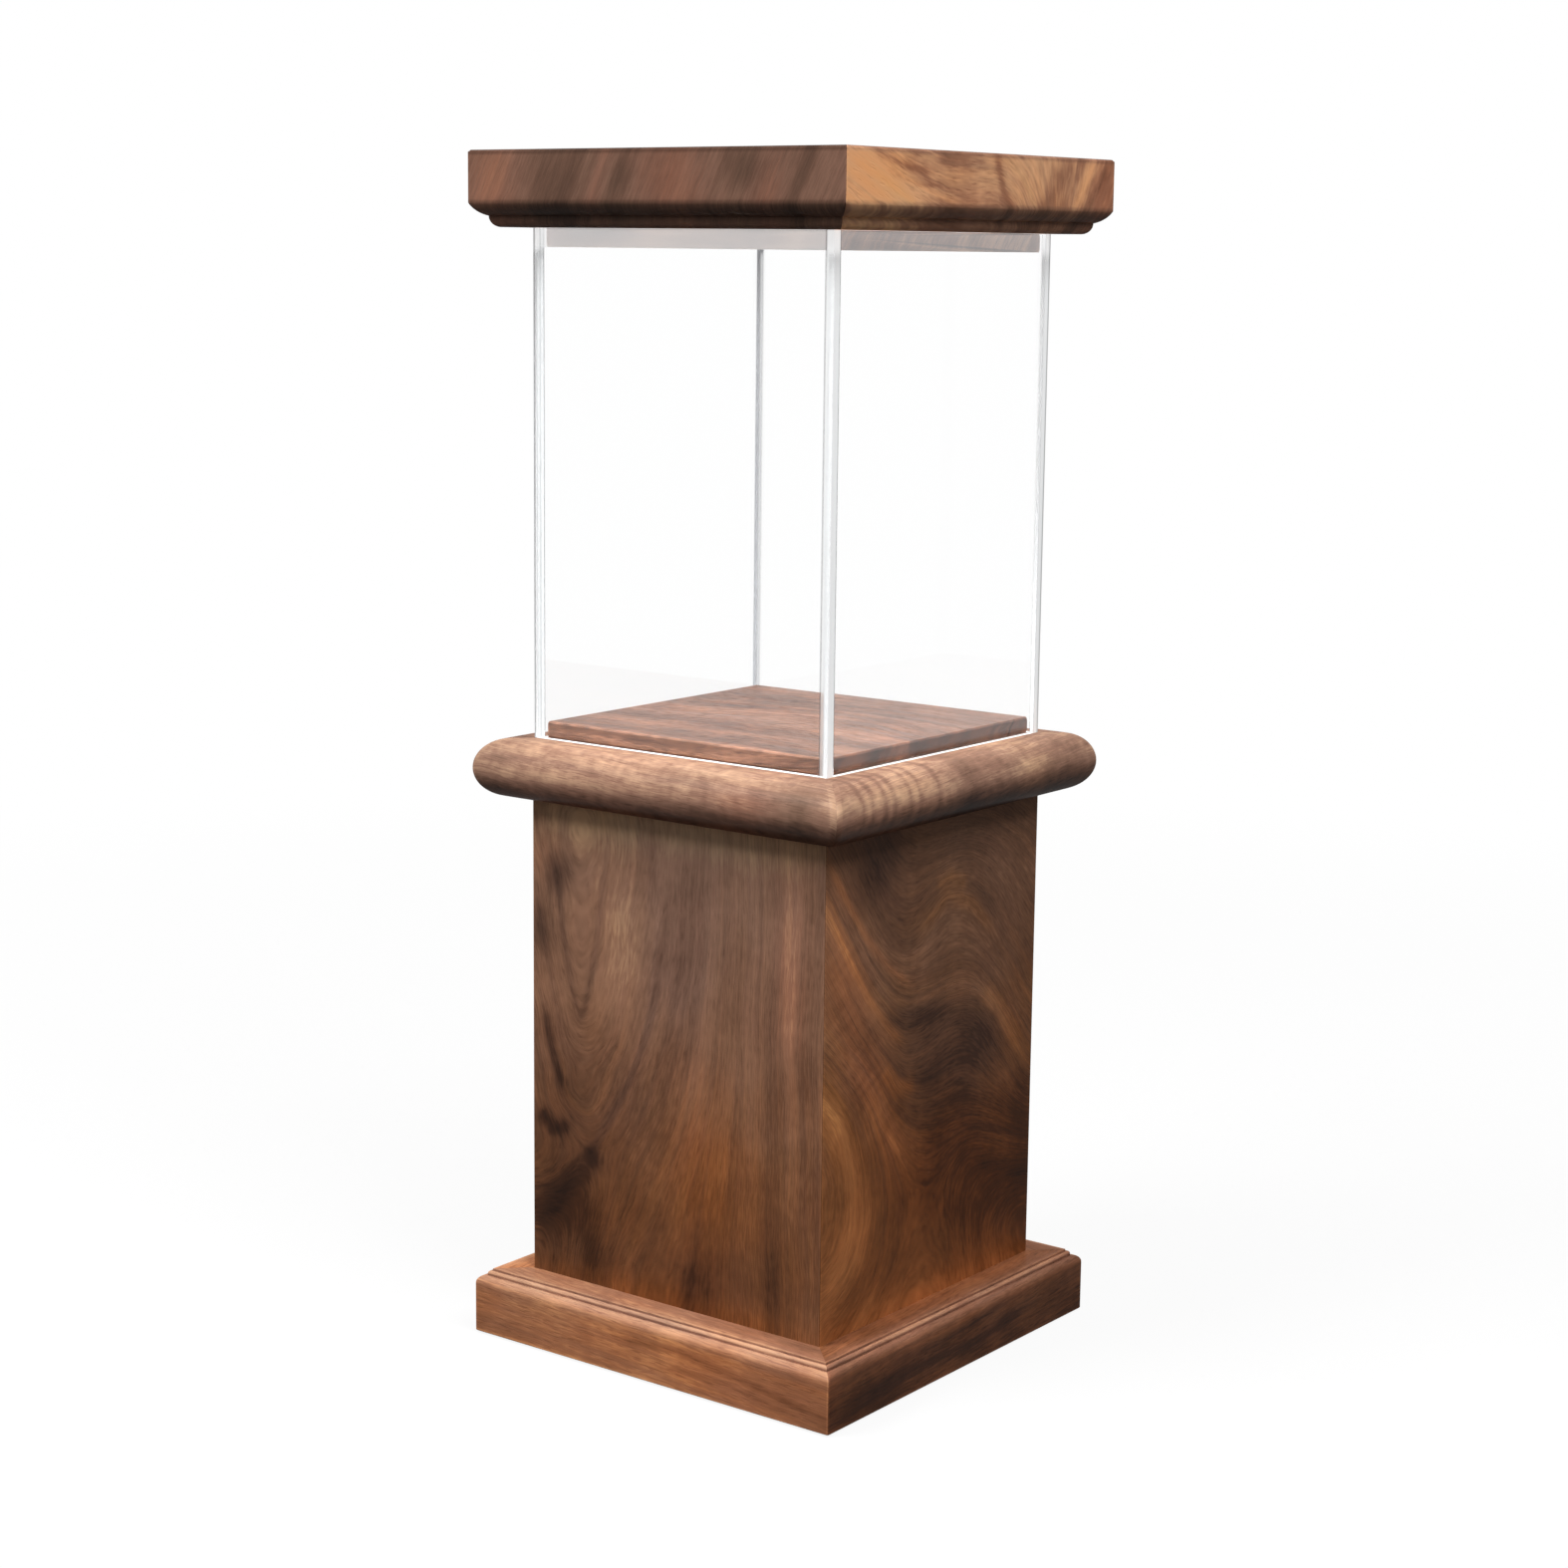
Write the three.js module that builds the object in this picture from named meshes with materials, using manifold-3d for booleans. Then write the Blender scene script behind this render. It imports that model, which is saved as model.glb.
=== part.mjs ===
// Pedestal display case: a hollow walnut pedestal on a moulded base, a bullnose deck with a raised
// display board, a clear case of four walls that lifts off, and a moulded lid that lifts off.
// Millimetres, +Z up. The origin is at the middle of the footprint, on the surface it stands on.
// Front is the side at -Y. Every four-sided frame is made as one side, turned to the four sides.
import * as THREE from 'three';
import { mergeVertices } from 'three/addons/utils/BufferGeometryUtils.js';
import Module from 'manifold-3d';

const wasm = await Module();
wasm.setup();

// Clearances and cutting
const looseFit = 0.3; // between a panel, a screw or a block and the piece that it is let into
const liftFit = 1; // between the clear walls and the boards that they slide over
const overrun = 4; // how far a cutting solid runs past the face that it cuts
const roundSteps = 10; // pairs of straight steps in each round of a profile
const easeSteps = 2; // straight steps in each half of an eased corner
const screwSteps = 12; // sides of a screw and of its hole

// Pedestal
const pedestalSide = 254;
const pedestalHeight = 342.2;
const boardThickness = 19;
const boardArris = 1.6; // radius of the eased upright corners
const blockLeg = 26; // short sides of the three-cornered glue blocks
const blockEndGap = 6; // how far a glue block stops short of each end of the pedestal

// Base
const baseSide = 313.2;
const baseRailHeight = 45.4;
const baseLip = 6; // how far the base reaches inside the pedestal boards
const basePanelThickness = 6.4;
const basePanelLedge = 7;
const baseRoundWidth = 3.2; // large round of the base moulding
const baseRoundHeight = 5.4;
const baseQuirkWidth = 0.8; // ledge and riser between the two rounds
const baseQuirkHeight = 1.2;
const baseBeadWidth = 1.2; // small round of the base moulding
const baseBeadHeight = 2.2;
const baseCapWidth = 0.4; // last ledge and riser, up to the flat top
const baseCapHeight = 1.3;
const baseEase = 1.6; // radius of the eased upright corners of the base
const padDiameter = 28;
const padThickness = 1.6;

// Bullnose deck
const deckSide = 315.6;
const deckRailThickness = 40.8; // also twice the radius of the half-round edge
const deckLip = 6; // how far the deck frame reaches inside the pedestal boards
const deckPanelThickness = 12.7;
const deckLedgeShare = 0.28; // how much of the deck frame's flat top the panel's ledge takes
const deckEase = 6; // radius that softens the corner where two half-round edges meet
const displayBoardThickness = 11.8;
const boardChamfer = 0.9; // broken edges of the display board, the plug and the lid panel

// Clear case
const caseSide = 251.6;
const wallThickness = 6.35;
const caseHeight = 347.2;

// Lid
const lidSide = 313.5;
const lidThickness = 50.5;
const lidRoundWidth = 9.9; // large round below the upright face of the lid
const lidRoundHeight = 8.4;
const lidBeadWidth = 6.2; // small round below it, down to the flat underside
const lidBeadHeight = 7.4;
const lidChamfer = 1.4; // broken top edge of the lid
const lidEase = 1.4; // radius of the eased upright corners of the lid
const lidPanelThickness = 18;
const lidPanelLedge = 10;
const plugThickness = 12.7;
const plugSeat = 13; // how far the plug reaches out under the lid frame

// Screws
const screwHeadRadius = 4;
const screwHeadDepth = 3;
const screwRim = 0.5; // upright rim of the head
const screwShankRadius = 2;
const screwTip = 3; // length of the point
const baseScrewBite = 19; // how far a base screw goes up into its pedestal board
const screwBiteShare = 0.6; // how far the other screws go into the wood that they hold
const deckScrewSpacing = 150;
const plugScrewSpacing = 168;

// Sizes worked out from the ones above
const pedestalHalf = pedestalSide / 2;
const pedestalInside = pedestalHalf - boardThickness;
const baseHalf = baseSide / 2;
const baseInside = pedestalInside - baseLip;
const baseBottom = padThickness;
const baseTop = baseBottom + baseRailHeight;
const deckHalf = deckSide / 2;
const deckRadius = deckRailThickness / 2;
const deckRoundIn = deckHalf - deckRadius;
const deckInside = pedestalInside - deckLip;
const deckLedgeOut = deckInside + (deckRoundIn - deckInside) * deckLedgeShare;
const deckBottom = baseTop + pedestalHeight;
const deckTop = deckBottom + deckRailThickness;
const deckPanelBottom = deckTop - deckPanelThickness;
const caseHalf = caseSide / 2;
const caseInside = caseHalf - wallThickness;
const boardHalf = caseInside - liftFit;
const lidHalf = lidSide / 2;
const lidInside = boardHalf - plugSeat;
const lidBottom = deckTop + caseHeight;
const lidTop = lidBottom + lidThickness;
const lidPanelBottom = lidTop - lidPanelThickness;
const plugBottom = lidBottom - plugThickness;
const baseScrewLength = baseRailHeight + baseScrewBite;
const deckScrewLength = deckPanelThickness + displayBoardThickness * screwBiteShare;
const plugScrewLength = plugThickness + (lidThickness - lidPanelThickness) * screwBiteShare;

const quarterTurn = Math.PI / 2;
const eighthTurn = Math.PI / 4;
const cornerShare = Math.cos(eighthTurn); // how far out a 45 degree line leaves a round corner
const sideNames = ['front', 'right', 'back', 'left'];
const cornerNames = ['front_right', 'back_right', 'back_left', 'front_left'];

// Finishes
const finish = (color, roughness, metalness) =>
  new THREE.MeshStandardMaterial({ color, roughness, metalness });
const pedestalWalnut = () => finish('#7a5038', 0.5, 0);
const baseWalnut = () => finish('#8f5a3c', 0.45, 0);
const deckWalnut = () => finish('#9a7462', 0.42, 0);
const lidWalnut = () => finish('#8a6252', 0.45, 0);
const boardWalnut = () => finish('#94614c', 0.48, 0);
const birchPly = () => finish('#c9ab80', 0.7, 0);
const pine = () => finish('#d0b080', 0.75, 0);
const felt = () => finish('#2c2622', 0.95, 0);
const brass = () => finish('#b08d4a', 0.35, 1);

function clearSheet() {
  const sheet = finish('#f2f7f7', 0.05, 0);
  sheet.transparent = true;
  sheet.opacity = 0.3;
  return sheet;
}

// A solid for joining and cutting, from a closed geometry
function solidOf(geometry) {
  const bare = geometry.clone();
  bare.deleteAttribute('normal');
  bare.deleteAttribute('uv');
  const merged = mergeVertices(bare);
  const mesh = new wasm.Mesh({
    numProp: 3,
    vertProperties: new Float32Array(merged.attributes.position.array),
    triVerts: new Uint32Array(merged.index.array),
  });
  return new wasm.Manifold(mesh);
}

function geometryOf(solid) {
  const mesh = solid.getMesh();
  const geometry = new THREE.BufferGeometry();
  geometry.setAttribute('position', new THREE.BufferAttribute(mesh.vertProperties, mesh.numProp));
  geometry.setIndex(new THREE.BufferAttribute(mesh.triVerts, 1));
  geometry.computeVertexNormals();
  return geometry;
}

// Cuts the same hole into a piece at each of the given places
function drilled(geometry, hole, places) {
  let solid = solidOf(geometry);
  for (const place of places) {
    const cutter = hole.clone().translate(place.x, place.y, place.z);
    solid = solid.subtract(solidOf(cutter));
  }
  return geometryOf(solid);
}

// One side of a mitred frame, at the front. The profile is drawn outwards and up, from the middle of
// the frame. It is extruded, and each step is then moved to its place in plan: the middle step runs
// straight, and the steps at each end turn through 45 degrees round the eased corner, up to the mitre.
// The corner's radius grows from nothing where the moulding starts to the full ease at the outside.
// Points nearer the middle than the moulding stay square, and their steps are spread along the side.
function mitredRail(profile, mouldingIn, outside, ease) {
  const steps = 2 * easeSteps + 1;
  const rail = new THREE.ExtrudeGeometry(profile, {
    depth: 1,
    steps,
    curveSegments: roundSteps,
    bevelEnabled: false,
  });
  const points = rail.attributes.position;
  for (let i = 0; i < points.count; i += 1) {
    const out = points.getX(i);
    const up = points.getY(i);
    const step = Math.round(points.getZ(i) * steps);
    const hand = step <= easeSteps ? 1 : -1;
    const turnShare = (hand === 1 ? easeSteps - step : step - easeSteps - 1) / easeSteps;
    const angle = eighthTurn * turnShare;
    const radius = ease * THREE.MathUtils.clamp((out - mouldingIn) / (outside - mouldingIn), 0, 1);
    const lead = (ease - radius) * (1 - turnShare);
    const along = out - radius + radius * Math.sin(angle) - lead;
    points.setXYZ(i, hand * along, -(out - radius + radius * Math.cos(angle)), up);
  }
  rail.computeVertexNormals();
  return rail;
}

// A square panel lying flat, with its edges broken all round
function squarePanel(half, thickness, chamfer, bottom) {
  const outline = new THREE.Shape();
  outline.moveTo(-half, -half);
  outline.lineTo(half, -half);
  outline.lineTo(half, half);
  outline.lineTo(-half, half);
  const panel = new THREE.ExtrudeGeometry(outline, {
    depth: thickness - 2 * chamfer,
    steps: 1,
    bevelEnabled: true,
    bevelThickness: chamfer,
    bevelSize: chamfer,
    bevelOffset: -chamfer,
    bevelSegments: 1,
  });
  panel.translate(0, 0, bottom + chamfer);
  return panel;
}

// A countersunk screw that points up, with the flat of its head at height 0. The same outline, wider
// by the slack and run out below its head, is the hole that it goes into.
function screwOutline(length, slack, runOut) {
  return [
    new THREE.Vector2(0, -runOut),
    new THREE.Vector2(screwHeadRadius + slack, -runOut),
    new THREE.Vector2(screwHeadRadius + slack, screwRim),
    new THREE.Vector2(screwShankRadius + slack, screwHeadDepth),
    new THREE.Vector2(screwShankRadius + slack, length - screwTip),
    new THREE.Vector2(0, length + slack),
  ];
}

function turned(outline) {
  const body = new THREE.LatheGeometry(outline, screwSteps);
  body.rotateX(quarterTurn);
  return body;
}

const screwBody = (length) => turned(screwOutline(length, 0, 0));
const screwHole = (length) => turned(screwOutline(length, looseFit, overrun));

// Puts one geometry on the four sides, or in the four corners, of the square plan
function addAround(group, stem, names, geometry, makeFinish) {
  names.forEach((place, turn) => {
    const mesh = new THREE.Mesh(geometry, makeFinish());
    mesh.name = `${stem}_${place}`;
    mesh.rotation.z = turn * quarterTurn;
    group.add(mesh);
  });
}

function addOne(group, name, geometry, makeFinish) {
  const mesh = new THREE.Mesh(geometry, makeFinish());
  mesh.name = name;
  group.add(mesh);
}

// Places of the screws that belong to the front side, each at the flat of its head
const baseScrewPlace = new THREE.Vector3(0, -(pedestalHalf + pedestalInside) / 2, baseBottom);
const deckScrewPlace = new THREE.Vector3(deckScrewSpacing / 2, -deckScrewSpacing / 2, deckPanelBottom);
const plugScrewOut = (boardHalf + lidInside) / 2;
const plugScrewPlaces = [-plugScrewSpacing / 2, plugScrewSpacing / 2].map(
  (along) => new THREE.Vector3(along, -plugScrewOut, plugBottom),
);

// The same places turned to all four sides
function turnedPlaces(places) {
  const up = new THREE.Vector3(0, 0, 1);
  return sideNames.flatMap((side, turn) =>
    places.map((place) => place.clone().applyAxisAngle(up, turn * quarterTurn)),
  );
}

// Base rail: upright face, large round, quirk, bead and cap up to a flat top, with a ledge below
// inside for the bottom panel
function baseRail() {
  const faceTop = baseTop - baseCapHeight - baseBeadHeight - baseQuirkHeight - baseRoundHeight;
  const roundIn = baseHalf - baseRoundWidth;
  const roundTop = faceTop + baseRoundHeight;
  const quirkIn = roundIn - baseQuirkWidth;
  const quirkTop = roundTop + baseQuirkHeight;
  const beadIn = quirkIn - baseBeadWidth;
  const beadTop = quirkTop + baseBeadHeight;
  const capIn = beadIn - baseCapWidth;
  const ledgeOut = baseInside + basePanelLedge;
  const ledgeUp = baseBottom + basePanelThickness;
  const profile = new THREE.Shape();
  profile.moveTo(ledgeOut, baseBottom);
  profile.lineTo(baseHalf, baseBottom);
  profile.lineTo(baseHalf, faceTop);
  profile.absellipse(roundIn, faceTop, baseRoundWidth, baseRoundHeight, 0, quarterTurn, false);
  profile.lineTo(quirkIn, roundTop);
  profile.lineTo(quirkIn, quirkTop);
  profile.absellipse(beadIn, quirkTop, baseBeadWidth, baseBeadHeight, 0, quarterTurn, false);
  profile.lineTo(capIn, beadTop);
  profile.lineTo(capIn, baseTop);
  profile.lineTo(baseInside, baseTop);
  profile.lineTo(baseInside, ledgeUp);
  profile.lineTo(ledgeOut, ledgeUp);
  return mitredRail(profile, capIn, baseHalf, baseEase);
}

// Deck rail: half-round outer edge, flat top, and a ledge inside that holds the deck panel
function deckRail() {
  const profile = new THREE.Shape();
  profile.moveTo(deckInside, deckBottom);
  profile.lineTo(deckRoundIn, deckBottom);
  profile.absarc(deckRoundIn, deckBottom + deckRadius, deckRadius, -quarterTurn, quarterTurn, false);
  profile.lineTo(deckLedgeOut, deckTop);
  profile.lineTo(deckLedgeOut, deckPanelBottom);
  profile.lineTo(deckInside, deckPanelBottom);
  return mitredRail(profile, deckRoundIn, deckHalf, deckEase);
}

// Lid rail: flat underside, small round, large round, upright face and a broken top edge, with a
// ledge inside that holds the lid panel flush with the top
function lidRail() {
  const roundIn = lidHalf - lidRoundWidth;
  const beadIn = roundIn - lidBeadWidth;
  const beadTop = lidBottom + lidBeadHeight;
  const roundTop = beadTop + lidRoundHeight;
  const ledgeOut = lidInside + lidPanelLedge;
  const profile = new THREE.Shape();
  profile.moveTo(lidInside, lidBottom);
  profile.lineTo(beadIn, lidBottom);
  profile.absellipse(beadIn, beadTop, lidBeadWidth, lidBeadHeight, -quarterTurn, 0, false);
  profile.absellipse(roundIn, roundTop, lidRoundWidth, lidRoundHeight, -quarterTurn, 0, false);
  profile.lineTo(lidHalf, lidTop - lidChamfer);
  profile.lineTo(lidHalf - lidChamfer, lidTop);
  profile.lineTo(ledgeOut, lidTop);
  profile.lineTo(ledgeOut, lidPanelBottom);
  profile.lineTo(lidInside, lidPanelBottom);
  return mitredRail(profile, beadIn, lidHalf, lidEase);
}

// Upright board of the pedestal: mitred ends, and half of the eased corner at each end
function pedestalBoard() {
  const arrisIn = pedestalHalf - boardArris;
  const mitreOut = arrisIn + boardArris * cornerShare;
  const plan = new THREE.Shape();
  plan.moveTo(-pedestalInside, -pedestalInside);
  plan.lineTo(-mitreOut, -mitreOut);
  plan.absarc(-arrisIn, -arrisIn, boardArris, quarterTurn * 2 + eighthTurn, quarterTurn * 3, false);
  plan.lineTo(arrisIn, -pedestalHalf);
  plan.absarc(arrisIn, -arrisIn, boardArris, quarterTurn * 3, quarterTurn * 3 + eighthTurn, false);
  plan.lineTo(pedestalInside, -pedestalInside);
  const board = new THREE.ExtrudeGeometry(plan, {
    depth: pedestalHeight,
    steps: 1,
    curveSegments: easeSteps,
    bevelEnabled: false,
  });
  board.translate(0, 0, baseTop);
  return board;
}

// Three-cornered glue block that stands in an inside corner of the pedestal
function cornerBlock() {
  const plan = new THREE.Shape();
  plan.moveTo(pedestalInside - blockLeg, -pedestalInside);
  plan.lineTo(pedestalInside, -pedestalInside);
  plan.lineTo(pedestalInside, blockLeg - pedestalInside);
  const block = new THREE.ExtrudeGeometry(plan, {
    depth: pedestalHeight - 2 * blockEndGap,
    steps: 1,
    bevelEnabled: false,
  });
  block.translate(0, 0, baseTop + blockEndGap);
  return block;
}

function footPad() {
  const middle = (baseHalf + baseInside + basePanelLedge) / 2;
  const pad = new THREE.CylinderGeometry(padDiameter / 2, padDiameter / 2, padThickness, 3 * roundSteps);
  pad.rotateX(quarterTurn);
  pad.translate(middle, -middle, padThickness / 2);
  return pad;
}

function buildBase(group) {
  const rail = drilled(baseRail(), screwHole(baseScrewLength), [baseScrewPlace]);
  addAround(group, 'base_rail', sideNames, rail, baseWalnut);
  const panelHalf = baseInside + basePanelLedge - looseFit;
  const panel = new THREE.BoxGeometry(2 * panelHalf, 2 * panelHalf, basePanelThickness);
  panel.translate(0, 0, baseBottom + basePanelThickness / 2);
  addOne(group, 'base_panel', panel, birchPly);
  addAround(group, 'foot_pad', cornerNames, footPad(), felt);
  const screw = screwBody(baseScrewLength);
  screw.translate(baseScrewPlace.x, baseScrewPlace.y, baseScrewPlace.z);
  addAround(group, 'base_screw', sideNames, screw, brass);
}

function buildPedestal(group) {
  const board = drilled(pedestalBoard(), screwHole(baseScrewLength), [baseScrewPlace]);
  addAround(group, 'pedestal_board', sideNames, board, pedestalWalnut);
  addAround(group, 'corner_block', cornerNames, cornerBlock(), pine);
}

function buildDeck(group) {
  addAround(group, 'deck_rail', sideNames, deckRail(), deckWalnut);
  const hole = screwHole(deckScrewLength);
  const places = turnedPlaces([deckScrewPlace]);
  const panelHalf = deckLedgeOut - looseFit;
  const panel = new THREE.BoxGeometry(2 * panelHalf, 2 * panelHalf, deckPanelThickness);
  panel.translate(0, 0, deckPanelBottom + deckPanelThickness / 2);
  addOne(group, 'deck_panel', drilled(panel, hole, places), birchPly);
  const board = squarePanel(boardHalf, displayBoardThickness, boardChamfer, deckTop);
  addOne(group, 'display_board', drilled(board, hole, places), boardWalnut);
  const screw = screwBody(deckScrewLength);
  screw.translate(deckScrewPlace.x, deckScrewPlace.y, deckScrewPlace.z);
  addAround(group, 'deck_screw', cornerNames, screw, brass);
}

// Front and back walls run the full width, and the side walls stand between them
function buildCase(group) {
  const wallMiddle = caseHalf - wallThickness / 2;
  const wide = new THREE.BoxGeometry(caseSide, wallThickness, caseHeight);
  wide.translate(0, -wallMiddle, deckTop + caseHeight / 2);
  const narrow = new THREE.BoxGeometry(2 * caseInside, wallThickness, caseHeight);
  narrow.translate(0, -wallMiddle, deckTop + caseHeight / 2);
  sideNames.forEach((side, turn) => {
    const wall = new THREE.Mesh(turn % 2 === 0 ? wide : narrow, clearSheet());
    wall.name = `case_wall_${side}`;
    wall.rotation.z = turn * quarterTurn;
    group.add(wall);
  });
}

function buildLid(group) {
  const hole = screwHole(plugScrewLength);
  const rail = drilled(lidRail(), hole, plugScrewPlaces);
  addAround(group, 'lid_rail', sideNames, rail, lidWalnut);
  const panelHalf = lidInside + lidPanelLedge - looseFit;
  const panel = squarePanel(panelHalf, lidPanelThickness, boardChamfer, lidPanelBottom);
  addOne(group, 'lid_panel', panel, lidWalnut);
  const plug = squarePanel(boardHalf, plugThickness, boardChamfer, plugBottom);
  addOne(group, 'lid_plug', drilled(plug, hole, turnedPlaces(plugScrewPlaces)), boardWalnut);
  plugScrewPlaces.forEach((place, index) => {
    const screw = screwBody(plugScrewLength);
    screw.translate(place.x, place.y, place.z);
    addAround(group, `plug_screw_${index + 1}`, sideNames, screw, brass);
  });
}

const displayCase = new THREE.Group();
for (const build of [buildBase, buildPedestal, buildDeck, buildCase, buildLid]) {
  const assembly = new THREE.Group();
  build(assembly);
  displayCase.add(assembly);
}

export default displayCase;
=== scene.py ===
"""Walnut pedestal display case with a clear lift-off case and lid, dressed and lit for a picture.

Sizes in the classes below are in millimetres. "out" is measured from the upright middle line of the
case, "up" from the floor, and "along" runs along a side, to the right as the side is looked at.
Every side is worked out at the front and then turned in quarter turns to its own place.
"""
import logging
import math
from collections.abc import Callable, Mapping, Sequence
from dataclasses import dataclass, replace
from enum import Enum

import bpy
import numpy as np
from mathutils import Matrix, Vector


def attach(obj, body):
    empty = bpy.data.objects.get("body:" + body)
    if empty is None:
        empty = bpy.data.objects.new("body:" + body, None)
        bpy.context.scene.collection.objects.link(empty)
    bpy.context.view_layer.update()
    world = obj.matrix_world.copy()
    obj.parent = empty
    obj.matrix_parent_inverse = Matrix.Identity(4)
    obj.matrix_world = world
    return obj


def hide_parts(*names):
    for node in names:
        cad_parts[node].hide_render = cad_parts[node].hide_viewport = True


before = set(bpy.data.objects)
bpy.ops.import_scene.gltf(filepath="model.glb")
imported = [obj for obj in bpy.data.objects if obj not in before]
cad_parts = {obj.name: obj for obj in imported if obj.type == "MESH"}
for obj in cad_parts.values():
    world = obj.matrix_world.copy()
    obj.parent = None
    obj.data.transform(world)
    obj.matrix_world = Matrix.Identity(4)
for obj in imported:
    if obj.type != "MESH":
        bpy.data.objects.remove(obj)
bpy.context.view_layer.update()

log = logging.getLogger("display_case")

MM = 0.001
SHARP_ANGLE = math.radians(35)
# Width of a joint's line, how strongly ends and corners take the painted edge highlight, and the radius that
# takes it fully
JOINT_LINE = 0.3
HIGHLIGHT_END, HIGHLIGHT_CORNER = 0.7, 0.8
HIGHLIGHT_RADIUS = 1.4
# How fast a streak rises from its ends, and how much of it shows at the very end
FADE_RATE, FADE_END = 6, 0.25
NEAR_ZERO = 1e-6
LOG_GUARD = 1e-9
SIDE_SHIFT = 5
CORNERS = ("front_right", "back_right", "back_left", "front_left")
Point = tuple[float, float]
Path = tuple[Point, ...]
Colour = tuple[float, float, float, float]
Socket = bpy.types.NodeSocket
Material = bpy.types.Material
Array = np.ndarray


def linear(red: int, green: int, blue: int) -> Colour:
    """A screen colour as the linear colour that the shaders take, by the standard screen curve.

    Args:
        red, green, blue: Screen levels from 0 to 255.

    Returns:
        The linear colour, with full alpha.
    """
    share = np.array([red, green, blue]) / 255
    curved = np.where(share <= 0.04045, share / 12.92, ((share + 0.055) / 1.055) ** 2.4)
    return (*map(float, curved), 1.0)


def grey(level: float, blue: float = 0.0) -> Colour:
    """A linear grey, with its blue raised by the second number."""
    return (level, level, level + blue, 1.0)


class Side(Enum):
    """The four sides, each with its number of quarter turns from the front."""

    FRONT = 0
    RIGHT = 1
    BACK = 2
    LEFT = 3

    @property
    def label(self) -> str:
        """The word that ends the names of this side's pieces."""
        return self.name.lower()

    def turn(self, points: Array) -> Array:
        """Points of the front side turned about the upright middle line to this side.

        Args:
            points: Any array of places whose last axis is x, y, z.

        Returns:
            The turned places, in an array of the same shape.
        """
        cos, sin = ((1, 0), (0, 1), (-1, 0), (0, -1))[self.value]
        x, y, z = np.moveaxis(points, -1, 0)
        return np.stack([cos * x - sin * y, sin * x + cos * y, z], axis=-1)


# ---- Shader maths


def _operator(operation: str, number_first: bool = False) -> Callable[..., "Signal"]:
    """A method that adds one Math node.

    Args:
        operation: The node's operation.
        number_first: Whether the other value comes first, as in 1 - mask.

    Returns:
        The method.
    """

    def apply(signal: "Signal", *other: "Signal | float") -> "Signal":
        """The node's output as a new signal."""
        values = (*other, signal) if number_first else (signal, *other)
        return signal.bench.signal("Math", {"operation": operation}, dict(enumerate(values)))

    return apply


@dataclass(frozen=True)
class Signal:
    """One number that varies over a surface. Arithmetic on it adds the Math nodes it needs."""

    bench: "ShaderBench"
    socket: Socket

    __add__, __radd__ = _operator("ADD"), _operator("ADD", True)
    __sub__, __rsub__ = _operator("SUBTRACT"), _operator("SUBTRACT", True)
    __mul__, __rmul__ = _operator("MULTIPLY"), _operator("MULTIPLY", True)
    __truediv__, __abs__ = _operator("DIVIDE"), _operator("ABSOLUTE")
    or_more, or_less = _operator("MAXIMUM"), _operator("MINIMUM")

    def within(self, low: float, high: float) -> "Signal":
        """The number held between low and high."""
        return self.or_more(low).or_less(high)

    def ramp(self, low: float, high: float) -> "Signal":
        """Rises smoothly from 0 at low to 1 at high, and stays within them."""
        values = {"Value": self, "From Min": low, "From Max": high}
        return self.bench.signal("MapRange", {"interpolation_type": "SMOOTHSTEP"}, values)


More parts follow.
